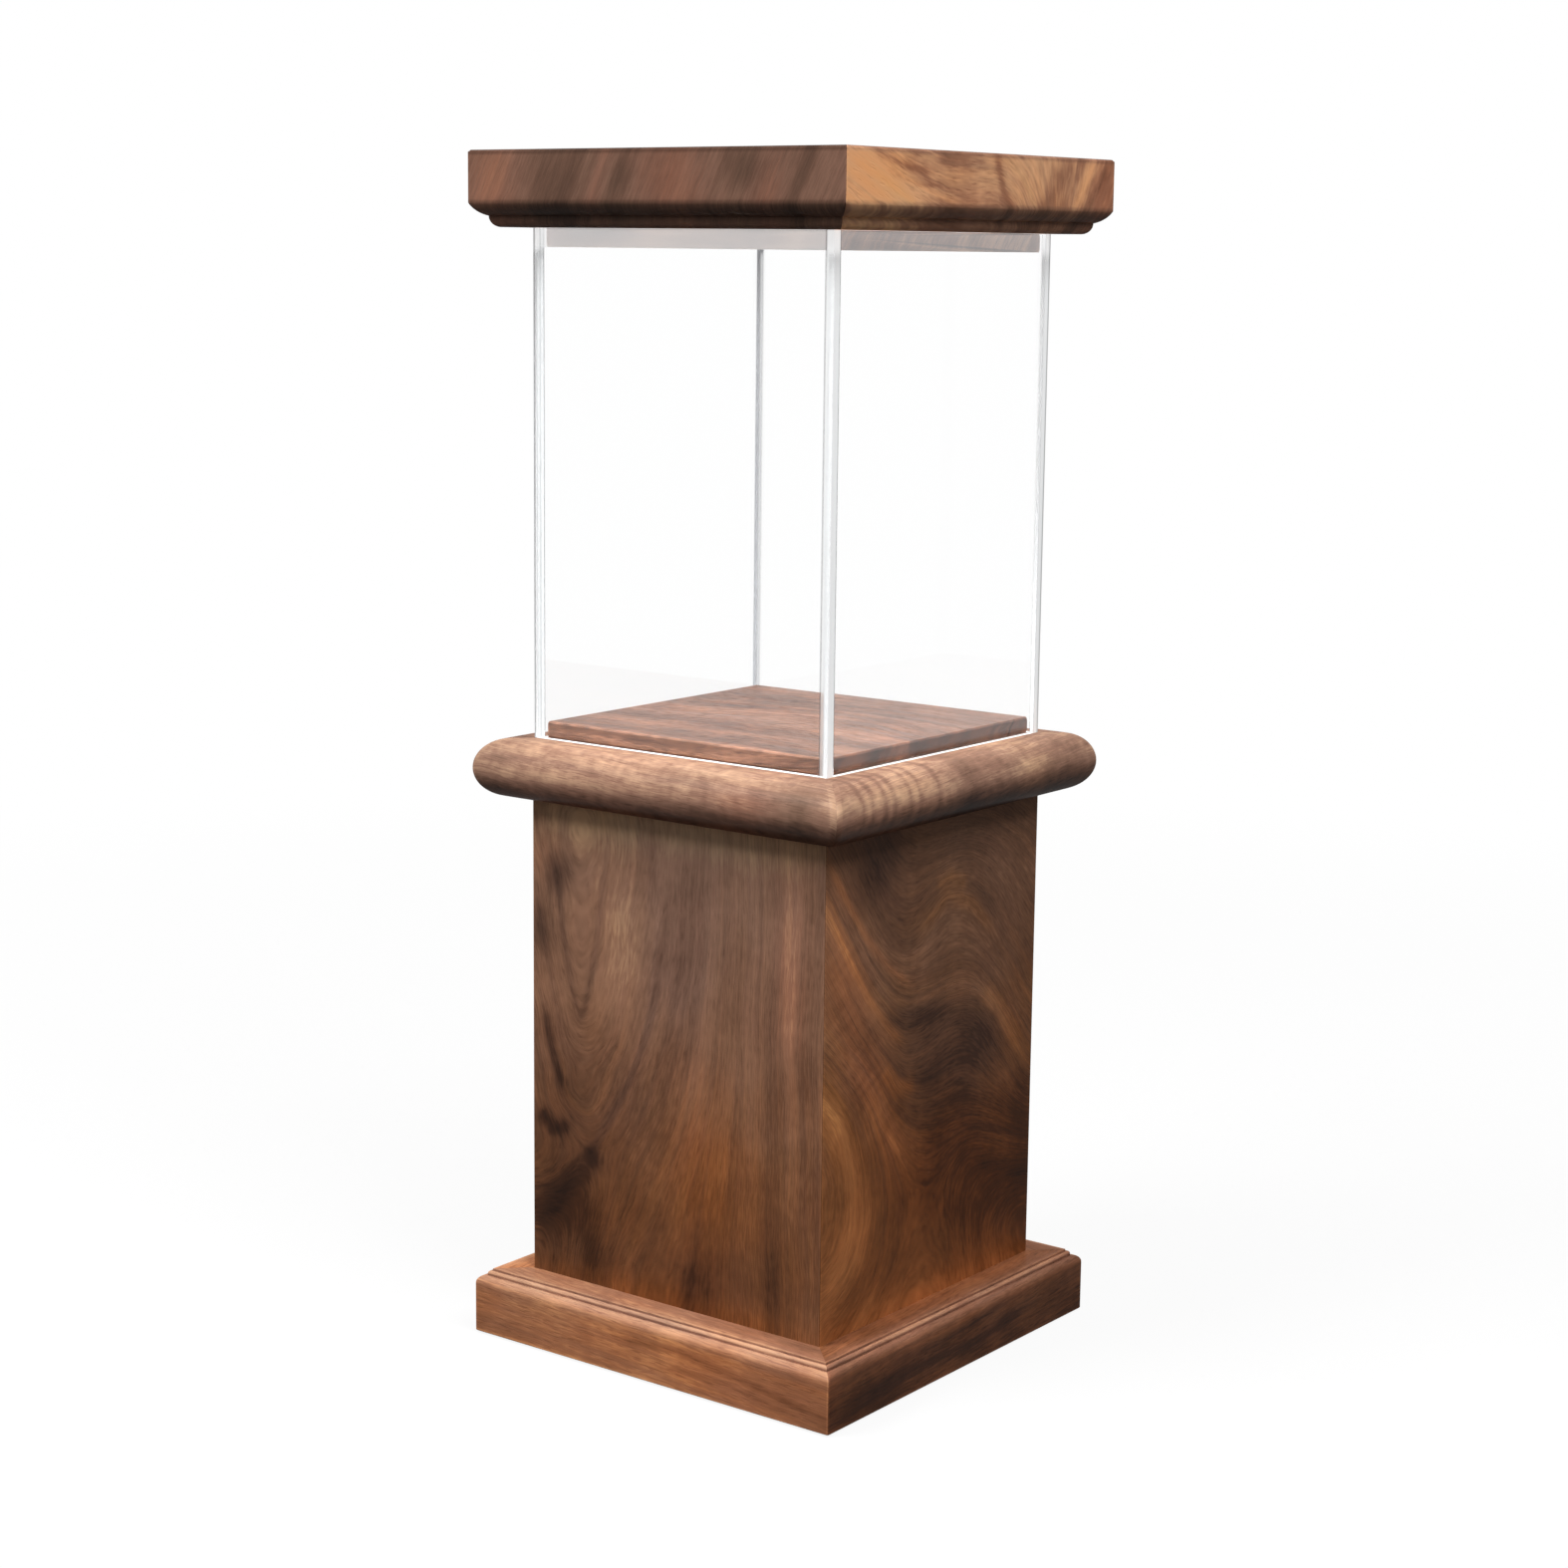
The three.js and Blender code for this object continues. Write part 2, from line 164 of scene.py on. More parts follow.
class ShaderBench:
    """The node tree of one material or of the world, with one way in for every kind of node."""

    def __init__(self, owner: Material | bpy.types.World) -> None:
        """Empties a node tree and works in it.

        Args:
            owner: What the tree belongs to.
        """
        owner.use_nodes = True
        self.owner, self.tree = owner, owner.node_tree
        self.tree.nodes.clear()

    @classmethod
    def material(cls, name: str) -> "ShaderBench":
        """A bench on a new material of that name."""
        return cls(bpy.data.materials.new(name))

    def node(self, kind: str, settings: Mapping = {}, inputs: Mapping = {}) -> bpy.types.Node:
        """Adds a node, sets it up and feeds its sockets.

        Args:
            kind: Node type without its common prefix.
            settings: The node's own settings.
            inputs: A value, signal or socket for each input, by name or number.

        Returns:
            The new node.
        """
        made = self.tree.nodes.new("ShaderNode" + kind)
        for key, value in settings.items():
            setattr(made, key, value)
        for key, value in inputs.items():
            source = value.socket if isinstance(value, Signal) else value
            if isinstance(source, Socket):
                self.tree.links.new(source, made.inputs[key])
            else:
                made.inputs[key].default_value = source
        return made

    def signal(self, kind: str, settings: Mapping = {}, inputs: Mapping = {}, out: int | str = 0) -> Signal:
        """One output of a new node as a signal."""
        return Signal(self, self.node(kind, settings, inputs).outputs[out])

    def place(self) -> Socket:
        """The place on the piece, in metres."""
        return self.node("TexCoord").outputs["Object"]

    def parts(self, vector: Socket) -> tuple[Signal, Signal, Signal]:
        """The three numbers of a vector."""
        return tuple(Signal(self, out) for out in self.node("SeparateXYZ", inputs={0: vector}).outputs)

    def number(self, attribute: str) -> Signal:
        """A number that the mesh carries under that name."""
        return self.signal("Attribute", {"attribute_name": attribute}, out="Fac")

    def triple(self, attribute: str) -> tuple[Signal, Signal, Signal]:
        """Three numbers that the mesh carries under that name."""
        return self.parts(self.node("Attribute", {"attribute_name": attribute}).outputs["Vector"])

    def ramp(self, share: Signal, stops: Sequence[tuple[float, Colour]]) -> Socket:
        """A colour ramp.

        Args:
            share: Where on the ramp, from 0 to 1.
            stops: Its places and colours, from low to high; two stops always exist.

        Returns:
            Its colour.
        """
        node = self.node("ValToRGB", inputs={0: share})
        elements = node.color_ramp.elements
        while len(elements) < len(stops):
            elements.new(1.0)
        for element, (place, colour) in zip(elements, stops):
            element.position, element.color = place, colour
        return node.outputs[0]

    def _noise(self, every: float, fourth: Signal | float, detail: float) -> Signal:
        """Noise over the place and a fourth coordinate, about -0.5 to 0.5.

        Args:
            every: Size of its patches in millimetres.
            fourth: The fourth coordinate.
            detail: How many finer layers lie on it.

        Returns:
            The noise.
        """
        step = {0: self.place(), "Scale": 1 / (every * MM)}
        vector = self.node("VectorMath", {"operation": "SCALE"}, step).outputs[0]
        values = {"Vector": vector, "W": fourth, "Scale": 1.0, "Detail": detail}
        return self.signal("TexNoise", {"noise_dimensions": "4D"}, values) - 0.5

    def cloud(self, every: float, detail: float = 1.0, shift: float = 0.0) -> Signal:
        """Soft noise with no direction, centred on 0; shift moves on to another part of it."""
        return self._noise(every, shift, detail)

    def grain(self, growth: Signal, band: float, length: float, shift: float = 0.0,
              detail: float = 0.0) -> Signal:
        """Noise in threads along the growth lines, of that width and length in millimetres."""
        return self._noise(length, growth / band + shift, detail)

    def mix(self, share: Signal | float, first: object, second: object, how: str = "MIX") -> Socket:
        """Two colours mixed, with that share of the second one, as a colour socket."""
        settings = {"data_type": "RGBA", "blend_type": how, "clamp_factor": True}
        return self.node("Mix", settings, {0: share, 6: first, 7: second}).outputs[2]

    def bump(self, height: Signal, strength: float, depth: float) -> Socket:
        """A surface direction that follows a height, whose unit is that many metres."""
        return self.shader("Bump", {"Strength": strength, "Distance": depth, "Height": height})

    def shader(self, kind: str, inputs: Mapping) -> Socket:
        """The first output of a node of that kind with those inputs."""
        return self.node(kind, inputs=inputs).outputs[0]

    def cover(self, share: Signal | Socket, below: Socket, above: Socket) -> Socket:
        """One surface laid over another by that share."""
        return self.shader("MixShader", {0: share, 1: below, 2: above})

    def principled(self, inputs: Mapping) -> Material:
        """Ends the tree with one principled surface of those inputs."""
        return self.finish(self.shader("BsdfPrincipled", inputs))

    def finish(self, surface: Socket) -> Material:
        """Ends the tree with that surface and returns the material."""
        self.node("OutputMaterial", inputs={"Surface": surface})
        return self.owner


# ---- Finishes

WALNUT_STOPS = (
    (0.0, linear(27, 18, 14)),
    (0.25, linear(64, 42, 31)),
    (0.5, linear(111, 77, 58)),
    (0.75, linear(158, 114, 88)),
    (1.0, linear(220, 170, 128)),
)
GOLDEN, ASHEN = (1.16, 0.98, 0.62, 1.0), (0.90, 0.97, 1.16, 1.0)
RUDDY, OLIVE = (1.12, 0.90, 0.80, 1.0), (0.93, 1.04, 1.03, 1.0)
WALNUT_THREADS = ((15, 260, 0), (4.6, 150, 7), (1.5, 70, 11), (0.9, 9, 17), (9, 210, 23), (0.9, 8, 29))


@dataclass(frozen=True)
class Walnut:
    """Oiled walnut whose figure the mesh carries as attributes.

    "growth" is the growth coordinate in millimetres, "figure" holds tone, gold and red, and
    "surface" holds curl, edge and seam. All of them come from the board's drawn figure, whose
    marks include painted light and shade. Its threads are listed above by width, length and shift.
    """

    name: str
    tone: float = 0.5
    gold: float = 0.0
    red: float = 0.0
    contrast: float = 1.0
    shift: float = 0.0
    roughness: float = 0.4
    pores: float = 0.07
    gloss: float = 0.0
    film: float = 0.12
    worn: float = 0.06
    reflection_veil: float = 0.0
    mottle: float = 0.1
    ladder_step: float = 4.8

    def dress(self) -> Material:
        """Builds the material: threads of tone along the growth lines, pores, curl, edges painted lighter as
        a painted highlight, and a pale veil painted as reflection where one is set.

        Returns:
            The material.
        """
        bench, shift = ShaderBench.material(self.name), self.shift
        drawn_tone, drawn_gold, drawn_red = bench.triple("figure")
        curl, edge, seam = bench.triple("surface")
        sway = 5 * bench.cloud(62, shift=shift) + bench.cloud(13, shift=shift + 3)
        rings = bench.number("growth") + sway
        broad, middle, fine, fibre, line, pore = (
            bench.grain(rings, width, length, shift + step) for width, length, step in WALNUT_THREADS
        )
        line = 1 - abs(line).ramp(0.004, 0.035)
        pore = pore.ramp(0.10, 0.22)
        x, y, z = bench.parts(bench.place())
        ladder = (z * 0.8 + (x - y) * 0.5) / (self.ladder_step * MM)
        ripple = bench.grain(ladder, 1.0, 22, shift + 31)
        threads = 0.27 * broad + 0.18 * middle + 0.13 * fine + 0.20 * fibre
        mottle = 0.28 * bench.cloud(34, 2, shift + 37) + self.mottle * bench.cloud(8, 2, shift + 47)
        # Edges are painted lighter, as a painted highlight on arrises, rounds and ends.
        marks = 0.03 * line + self.pores * pore + 0.4 * seam - self.worn * edge
        tone = self.tone + self.contrast * (threads + mottle - marks) + drawn_tone + curl * 0.4 * ripple
        wood = bench.ramp(tone, WALNUT_STOPS)
        gold = self.gold + drawn_gold + 0.7 * bench.cloud(48, 1, shift + 41) + 0.5 * middle
        red = self.red + drawn_red + 0.6 * bench.cloud(40, 1, shift + 43) + 0.5 * fine
        for share, tint in ((gold, GOLDEN), (0 - gold, ASHEN), (red, RUDDY), (0 - red, OLIVE)):
            wood = bench.mix(share.within(0, 1.5), wood, bench.mix(1.0, wood, tint, "MULTIPLY"))
        # A pale veil over the wood, painted as the reflection of the clear case in front of it.
        if self.reflection_veil:
            wood = bench.mix(self.reflection_veil, wood, linear(238, 236, 238))
        roughness = self.roughness + 0.3 * fine + 0.2 * pore - 0.06 * edge
        height = 0.5 * fibre - 0.55 * pore - 0.6 * seam + curl * 0.5 * ripple
        inputs = {
            "Base Color": wood,
            "Roughness": roughness.within(0.2, 0.8),
            "Normal": bench.bump(height, 0.35, 0.0004),
            "Specular IOR Level": self.gloss,
            "Coat Weight": self.film,
            "Coat Roughness": self.roughness,
        }
        return bench.principled(inputs)


@dataclass(frozen=True)
class PaleWood:
    """Bare pale wood of the hidden pieces: ply with its layers, or planed pine."""

    name: str
    pale: Colour
    dark: Colour
    band: float
    layers: float = 0.0

    def dress(self) -> Material:
        """Builds the material: straight bands along x, with ply layers up the edges if it has them.

        Returns:
            The material.
        """
        bench = ShaderBench.material(self.name)
        _, y, z = bench.parts(bench.place())
        across = y / MM + 6 * bench.cloud(70)
        fibre = bench.grain(across, 0.7, 12, 5)
        share = 0.4 + 1.6 * bench.grain(across, self.band, 160, detail=2) + 0.6 * fibre
        if self.layers:
            height = z / (self.layers * MM)
            share = share + 0.35 * bench.signal("Math", {"operation": "PINGPONG"}, {0: height, 1: 1.0})
        inputs = {
            "Base Color": bench.mix(share.within(0, 1), self.pale, self.dark),
            "Roughness": 0.7 + 0.3 * fibre,
            "Normal": bench.bump(fibre, 0.3, 0.0003),
        }
        return bench.principled(inputs)


@dataclass(frozen=True)
class Felt:
    """Dark pressed felt."""

    name: str = "foot_felt"

    def dress(self) -> Material:
        """Builds the material: matted fibres over slow patches.

        Returns:
            The material.
        """
        bench = ShaderBench.material(self.name)
        fibres = bench.cloud(0.6, 3)
        share = (0.5 + 1.4 * fibres + 0.6 * bench.cloud(6)).within(0, 1)
        colour = bench.mix(share, linear(28, 24, 22), linear(64, 57, 52))
        inputs = {"Base Color": colour, "Roughness": 0.95, "Normal": bench.bump(fibres, 0.6, 0.0004)}
        return bench.principled(inputs)


@dataclass(frozen=True)
class Brass:
    """Turned brass with tool rings and a little tarnish."""

    name: str = "screw_brass"

    def dress(self) -> Material:
        """Builds the material: fine rings up the length, darker where it has tarnished.

        Returns:
            The material.
        """
        bench = ShaderBench.material(self.name)
        _, _, z = bench.parts(bench.place())
        tarnish = bench.cloud(2.5, 3).ramp(-0.1, 0.3)
        colour = bench.mix(tarnish, linear(205, 170, 98), linear(138, 106, 56))
        roughness = 0.28 + 0.25 * bench.grain(z / MM, 0.25, 40) + 0.25 * tarnish
        inputs = {"Base Color": colour, "Roughness": roughness, "Metallic": 1.0}
        return bench.principled(inputs)


@dataclass(frozen=True)
class ClearSheet:
    """Clear cast sheet, polished on its faces, frosted where it is sawn and at its upright joints.

    The nearest upright joint and the one behind it, as the camera sees them, have frost and lines
    of their own: the one behind is painted darker grey as painted shade. The frost also glows a
    little though it is no lamp, a painted glow strongest at the top band under the lid, where
    shade falls, and grey lines painted at the side corners' outer arrises stand for refraction.
    """

    name: str = "case_clear_sheet"
    foot: float = 430.0
    sawn: float = 0.5
    half: float = 125.8
    wall: float = 6.35
    # Heights of the top band, where the frost's painted glow is strongest.
    head: Point = (758.0, 767.0)
    # Height and depth of the painted reflection veil on the front sheet in front of the plug.
    plug_veil_up: Point = (763.5, 765.0)
    plug_veil_out: Point = (0.121, 0.123)
    beside: Point = (0.08, 0.10)
    # Insets of the grey lines painted at the side corners' outer arrises, as painted refraction.
    rim: Point = (2.2, 1.8)
    blend: float = 0.6

    def dress(self) -> Material:
        """Builds the material: clear glass that lets the lamps through, with frost, a painted glow, painted
        shade at the back post and grey lines, some of them painted refraction.

        Returns:
            The material.
        """
        bench = ShaderBench.material(self.name)
        x, y, z = bench.parts(bench.place())
        up, wide, deep, inner = z / MM, abs(x) / MM, abs(y) / MM, self.half - self.wall
        inputs = {
            "Base Color": (0.997, 0.998, 0.998, 1.0),
            "Roughness": 0.0,
            "IOR": 1.49,
            "Specular Tint": grey(0.35),
            "Transmission Weight": 1.0,
        }
        clear = bench.shader("BsdfPrincipled", inputs)

        near = x.ramp(*self.beside) * (0 - y).ramp(*self.beside)
        far = (0 - x).ramp(*self.beside) * y.ramp(*self.beside)
        head = up.ramp(*self.head)
        cloudy = bench.mix(0.5 + bench.cloud(0.8, 2), linear(212, 214, 215), linear(228, 230, 231))
        # Frost with a painted glow, an emission though it is no lamp, strongest at the top band under the
        # lid, where shade falls; the back-left post is painted darker grey with little glow, as painted
        # shade.
        inputs = {
            "Base Color": bench.mix(far, cloudy, linear(150, 152, 156)),
            "Roughness": 0.6,
            "Emission Color": bench.mix(far, bench.mix(head, grey(0.35), grey(1.0)), grey(0.16, 0.01)),
            "Emission Strength": 0.7,
        }
        frost = bench.shader("BsdfPrincipled", inputs)
        foot = 1 - (up - self.foot).ramp(self.sawn * 0.8, self.sawn)
        post = wide.ramp(inner, inner + self.blend) * deep.ramp(inner, inner + self.blend)
        sawn = foot.or_more(bench.number("sawn").ramp(0.4, 0.6))
        # Painted reflection: frost laid over the front sheet in front of the plug, veiling it pale.
        painted_plug_veil = 0.4 * up.ramp(*self.plug_veil_up) * (0 - y).ramp(*self.plug_veil_out)
        # The frost shares at the near and far posts and at the top band are painted light and shade, laid
        # beside the real frost of the joints and sawn edges.
        share = sawn.or_more((0.10 + 0.36 * near + 0.40 * far + 0.7 * head) * post).or_more(painted_plug_veil)
        sheet = bench.cover(share, clear, frost)

        # Grey lines painted along the outer arrises of the two side corners, as painted refraction at the
        # case's outline; the joint and end lines follow the bonded joints and sawn ends, the joint lines
        # drawn stronger at the nearest post.
        rim = [self.half - inset for inset in self.rim]
        outer = wide.ramp(*rim) * deep.ramp(*rim) * (x * y).ramp(0.0, 0.001)
        joint = (1 - abs(wide - inner).ramp(0.5, 0.9)) * deep.ramp(inner - self.blend, inner - self.blend / 2)
        end = (1 - abs(deep - inner).ramp(0.4, 0.8)) * wide.ramp(inner - self.blend, inner - self.blend / 2)
        lines = (0.5 * outer).or_more((0.2 + 0.25 * near) * joint).or_more(0.2 * end)
        sheet = bench.cover(lines, sheet, bench.shader("BsdfDiffuse", {"Color": grey(0.22, 0.01)}))
        gap = bench.shader("BsdfTransparent", {"Color": (0.96, 0.97, 0.97, 1.0)})
        shadow = bench.node("LightPath").outputs["Is Shadow Ray"]
        return bench.finish(bench.cover(shadow, sheet, gap))


# ---- Drawn figure of a board


class Mark:
    """A mark on a board's face, with what it adds to the wood; some marks are painted light or shade."""

    tone: float
    gold: float
    red: float
    curl: float

    @property
    def amounts(self) -> Array:
        """The four amounts as one array."""
        return np.array([self.tone, self.gold, self.red, self.curl], float)


@dataclass(frozen=True)
class Patch(Mark):
    """A soft oval round a place on the face, with its reach both ways, turned by so many degrees."""

    along: float
    up: float
    wide: float
    tall: float
    tone: float = 0.0
    gold: float = 0.0
    red: float = 0.0
    curl: float = 0.0
    turn: float = 0.0

    def share(self, along: Array, up: Array) -> Array:
        """How strongly it shows: a bell over the distance counted in its reach.

        Args:
            along, up: Places on the face.

        Returns:
            The share at each place, from 0 to 1.
        """
        cos, sin = math.cos(math.radians(self.turn)), math.sin(math.radians(self.turn))
        east, north = along - self.along, up - self.up
        wide, tall = (cos * east + sin * north) / self.wide, (cos * north - sin * east) / self.tall
        return np.exp(-(wide**2 + tall**2))


@dataclass(frozen=True)
class Streak(Mark):
    """A line of colour along a path, fading at both ends."""

    path: Path
    width: float
    tone: float = 0.0
    gold: float = 0.0
    red: float = 0.0
    curl: float = 0.0

    def share(self, along: Array, up: Array) -> Array:
        """How strongly it shows: a bell over the distance to the path.

        Args:
            along, up: Places on the face.

        Returns:
            The share at each place, from 0 to 1.
        """
        corners = np.array(self.path)
        start, step = corners[:-1], np.diff(corners, axis=0)
        here = np.stack([along, up], axis=-1)[..., None, :] - start
        reach = np.clip((here * step).sum(-1) / (step**2).sum(-1), 0, 1)
        distance = np.linalg.norm(here - reach[..., None] * step, axis=-1)
        nearest = distance.argmin(-1)
        part = np.take_along_axis(reach, nearest[..., None], -1)[..., 0]
        travelled = (nearest + part) / len(step)
        fade = np.clip(FADE_RATE * np.minimum(travelled, 1 - travelled) + FADE_END, 0, 1)
        return fade * np.exp(-((distance.min(-1) / self.width) ** 2))


@dataclass(frozen=True)
class Shape:
    """A worked-out shape: rings of points, with how much each point is an edge or a joint line."""

    rings: Array
    edge: Array
    seam: Array


@dataclass(frozen=True)
class Figure:
    """The figure of one board, as drawn on its face.

    Growth lines run along the contours, each a level and its points. Between them the growth
    coordinate is a thin plate bent through all of those points, eased a little. Below the face
    the figure slants, by slant millimetres for each millimetre of depth, as rings do.
    """

    contours: tuple[tuple[float | Point, ...], ...] = ()
    features: tuple[Mark, ...] = ()
    upright: bool = False
    slant: float = 0.8
    mirrored: bool = False
    lean: float = 0.0
    ease: float = 4.0

    def growth(self, along: Array, up: Array) -> Array:
        """The growth coordinate: straight lines, or a plane plus weights times r squared log r.

        Args:
            along, up: Places on the face.

        Returns:
            The coordinate at each place, in millimetres.
        """
        if not self.contours:
            lean = math.radians(self.lean)
            return up * math.cos(lean) - along * math.sin(lean)
        knots = np.array([point for _, *path in self.contours for point in path], float)
        levels = np.array([level for level, *path in self.contours for _ in path], float)
        flat = np.column_stack([np.ones(len(knots)), knots])
        bent = self._bend(knots, knots) + self.ease * np.eye(len(knots))
        plate = np.block([[bent, flat], [flat.T, np.zeros((3, 3))]])
        weights = np.linalg.solve(plate, np.concatenate([levels, np.zeros(3)]))
        places = np.column_stack([along.ravel(), up.ravel()])
        plane = np.column_stack([np.ones(len(places)), places]) @ weights[-3:]
        return (self._bend(places, knots) @ weights[:-3] + plane).reshape(along.shape)

    @staticmethod
    def _bend(places: Array, knots: Array) -> Array:
        """r squared times log r between every place and every knot, with r in centimetres."""
        square = ((places[:, None] - knots[None]) ** 2).sum(-1) / 100
        return 0.5 * square * np.log(square + LOG_GUARD)

    def write(self, mesh: bpy.types.Mesh, along: Array, up: Array, depth: Array, shape: Shape) -> None:
        """Writes the figure into a mesh as the attributes that the walnut reads.

        Args:
            mesh: The board's mesh.
            along, up, depth: Place of each vertex on the face and below it.
            shape: The board's shape.
        """
        up = up + self.slant * depth * (not self.upright)
        along = (-along if self.mirrored else along) + self.slant * depth * self.upright
        looks = np.zeros((*along.shape, 4))
        for feature in self.features:
            looks += feature.share(along, up)[..., None] * feature.amounts
        surface = np.stack([looks[..., 3], shape.edge, shape.seam], axis=-1)
        for name, kind, key, values in (
            ("growth", "FLOAT", "value", self.growth(along, up)),
            ("figure", "FLOAT_VECTOR", "vector", looks[..., :3]),
            ("surface", "FLOAT_VECTOR", "vector", surface),
        ):
            field = mesh.attributes.new(name, kind, "POINT")
            field.data.foreach_set(key, np.ascontiguousarray(values, np.float32).ravel())


# ---- Surfaces


def add_object(name: str, data: bpy.types.ID) -> bpy.types.Object:
    """Puts a new object with that data into the scene.

    Args:
        name, data: Its name, and its mesh, lamp or camera.

    Returns:
        The object.
    """
    made = bpy.data.objects.new(name, data)
    bpy.context.scene.collection.objects.link(made)
    return made


def closed_sweep(name: str, rings: Array) -> bpy.types.Object:
    """A closed piece from rings of points, joined to their neighbours and capped at both ends.

    The sign of the volume, from the triple products of the triangles' corners, turns faces out.

    Args:
        name: Name of the piece.
        rings: Places in millimetres: rings by points by x, y, z.

    Returns:
        The piece, at the origin.
    """
    rows, columns, _ = rings.shape
    corner = np.arange(rows * columns).reshape(rows, columns)
    here, there = corner[:-1], corner[1:]
    quads = np.stack([here, np.roll(here, -1, 1), np.roll(there, -1, 1), there], -1).reshape(-1, 4)
    caps = [corner[0][::-1], corner[-1]]
    places = rings.reshape(-1, 3) * MM
    fans = [np.stack([np.full(len(cap) - 2, cap[0]), cap[1:-1], cap[2:]], -1) for cap in caps]
    triangles = np.concatenate([quads[:, [0, 1, 2]], quads[:, [0, 2, 3]], *fans])
    a, b, c = (places[triangles[:, k]] for k in range(3))
    faces = [*quads.tolist(), *(cap.tolist() for cap in caps)]
    if (a * np.cross(b, c)).sum() < 0:
        faces = [face[::-1] for face in faces]
    mesh = bpy.data.meshes.new(name)
    mesh.from_pydata(places.tolist(), [], faces)
    mesh.polygons.foreach_set("use_smooth", np.ones(len(faces), bool))
    mesh.set_sharp_from_angle(angle=SHARP_ANGLE)
    mesh.validate()
    return add_object(name, mesh)


def rounded(middle: Point, radii: Point, start: float, end: float, steps: int = 10) -> Array:
    """Points on an ellipse: the middle plus the radii times cosine and sine of an even angle.

    Args:
        middle: Its middle, out and up.
        radii: Its reach out and up.
        start, end: Angles in degrees, anticlockwise from straight out.
        steps: Number of straight steps.

    Returns:
        The points, first and last included.
    """
    angle = np.radians(np.linspace(start, end, steps + 1))
    return np.column_stack([middle[0] + radii[0] * np.cos(angle), middle[1] + radii[1] * np.sin(angle)])


def outline(*stretches: Sequence | Array, spacing: float = 2.6) -> Array:
    """Joins stretches of points into one closed outline and fills its long straight sides.

    Args:
        stretches: Points or arcs, in order round the outline.
        spacing: Greatest distance between neighbouring points.

    Returns:
        The points, out and up, without a repeated last one.
    """
    points = np.concatenate([np.atleast_2d(np.array(stretch, float)) for stretch in stretches])
    step = np.roll(points, -1, 0) - points
    length = np.linalg.norm(step, axis=1)
    apart = length > NEAR_ZERO
    points, step, length = points[apart], step[apart], length[apart]
    count = np.maximum(1, np.ceil(length / spacing)).astype(int)
    side = np.repeat(np.arange(len(points)), count)
    place = np.arange(count.sum()) - np.repeat(np.cumsum(count) - count, count)
    return points[side] + step[side] * (place / count[side])[:, None]


def outline_turning(points: Array, least: float = 0.4, full: float = 2.0) -> Array:
    """How round an outline is at each point: its turning angle over its length.

    Args:
        points: Points of a closed outline.
        least: Shortest length that counts.
        full: Radius that counts as fully round.

    Returns:
        The share at each point, from 0 on a flat to 1.
    """
    before, after = points - np.roll(points, 1, 0), np.roll(points, -1, 0) - points
    turned = before[:, 0] * after[:, 1] - before[:, 1] * after[:, 0]
    angle = np.arctan2(turned, (before * after).sum(1))
    length = (np.linalg.norm(before, axis=1) + np.linalg.norm(after, axis=1)) / 2
    return np.clip(np.abs(angle) / np.maximum(length, least) * full, 0, 1) * (angle > 0)


def mitred_rail(profile: Array, moulding_in: float, outside: float, ease: float,
                cells: int = 120, turns: int = 6) -> Shape:
    """One side of a mitred frame: a profile carried along the front side.

    At each end the profile turns by 45 degrees round the eased corner. Its radius grows from
    nothing at the inside of the moulding to the full ease at the outside, and along is the
    distance out less the radius plus radius times sine; out is the same with the cosine.

    Args:
        profile: Closed outline, out and up.
        moulding_in, outside: Distances out at which the radius is nothing, and the full ease.
        ease: Radius of the corner in plan.
        cells, turns: Steps along the straight part, and round each half corner.

    Returns:
        The rail's shape at the front.
    """
    out, up = profile[:, 0], profile[:, 1]
    radius = ease * np.clip((out - moulding_in) / (outside - moulding_in), 0, 1)
    share = np.linspace(-1, 1, cells + 1)[:, None]
    turn_share = np.append(np.arange(1, turns) / turns, [1 - JOINT_LINE / (turns * ease + 1), 1])[:, None]
    angle = turn_share * math.pi / 4
    end_along = out - radius + radius * np.sin(angle) - (ease - radius) * (1 - turn_share)
    end_out = out - radius + radius * np.cos(angle)
    along = np.concatenate([-end_along[::-1], share * (out - ease), end_along])
    across = np.concatenate([end_out[::-1], np.broadcast_to(out, (cells + 1, len(out))), end_out])
    rings = np.stack([along, -across, np.broadcast_to(up, along.shape)], -1)
    bare = np.zeros((cells + 1, len(out)))
    # Eased corners take the painted edge highlight, fully once their radius reaches the full radius.
    corner = np.broadcast_to(np.clip(radius / HIGHLIGHT_RADIUS, 0, 1) * HIGHLIGHT_CORNER, end_along.shape)
    edge = np.maximum(np.concatenate([corner, bare, corner]), outline_turning(profile))
    seam = np.zeros_like(along)
    seam[[0, -1]] = 1
    return Shape(rings, edge, seam)


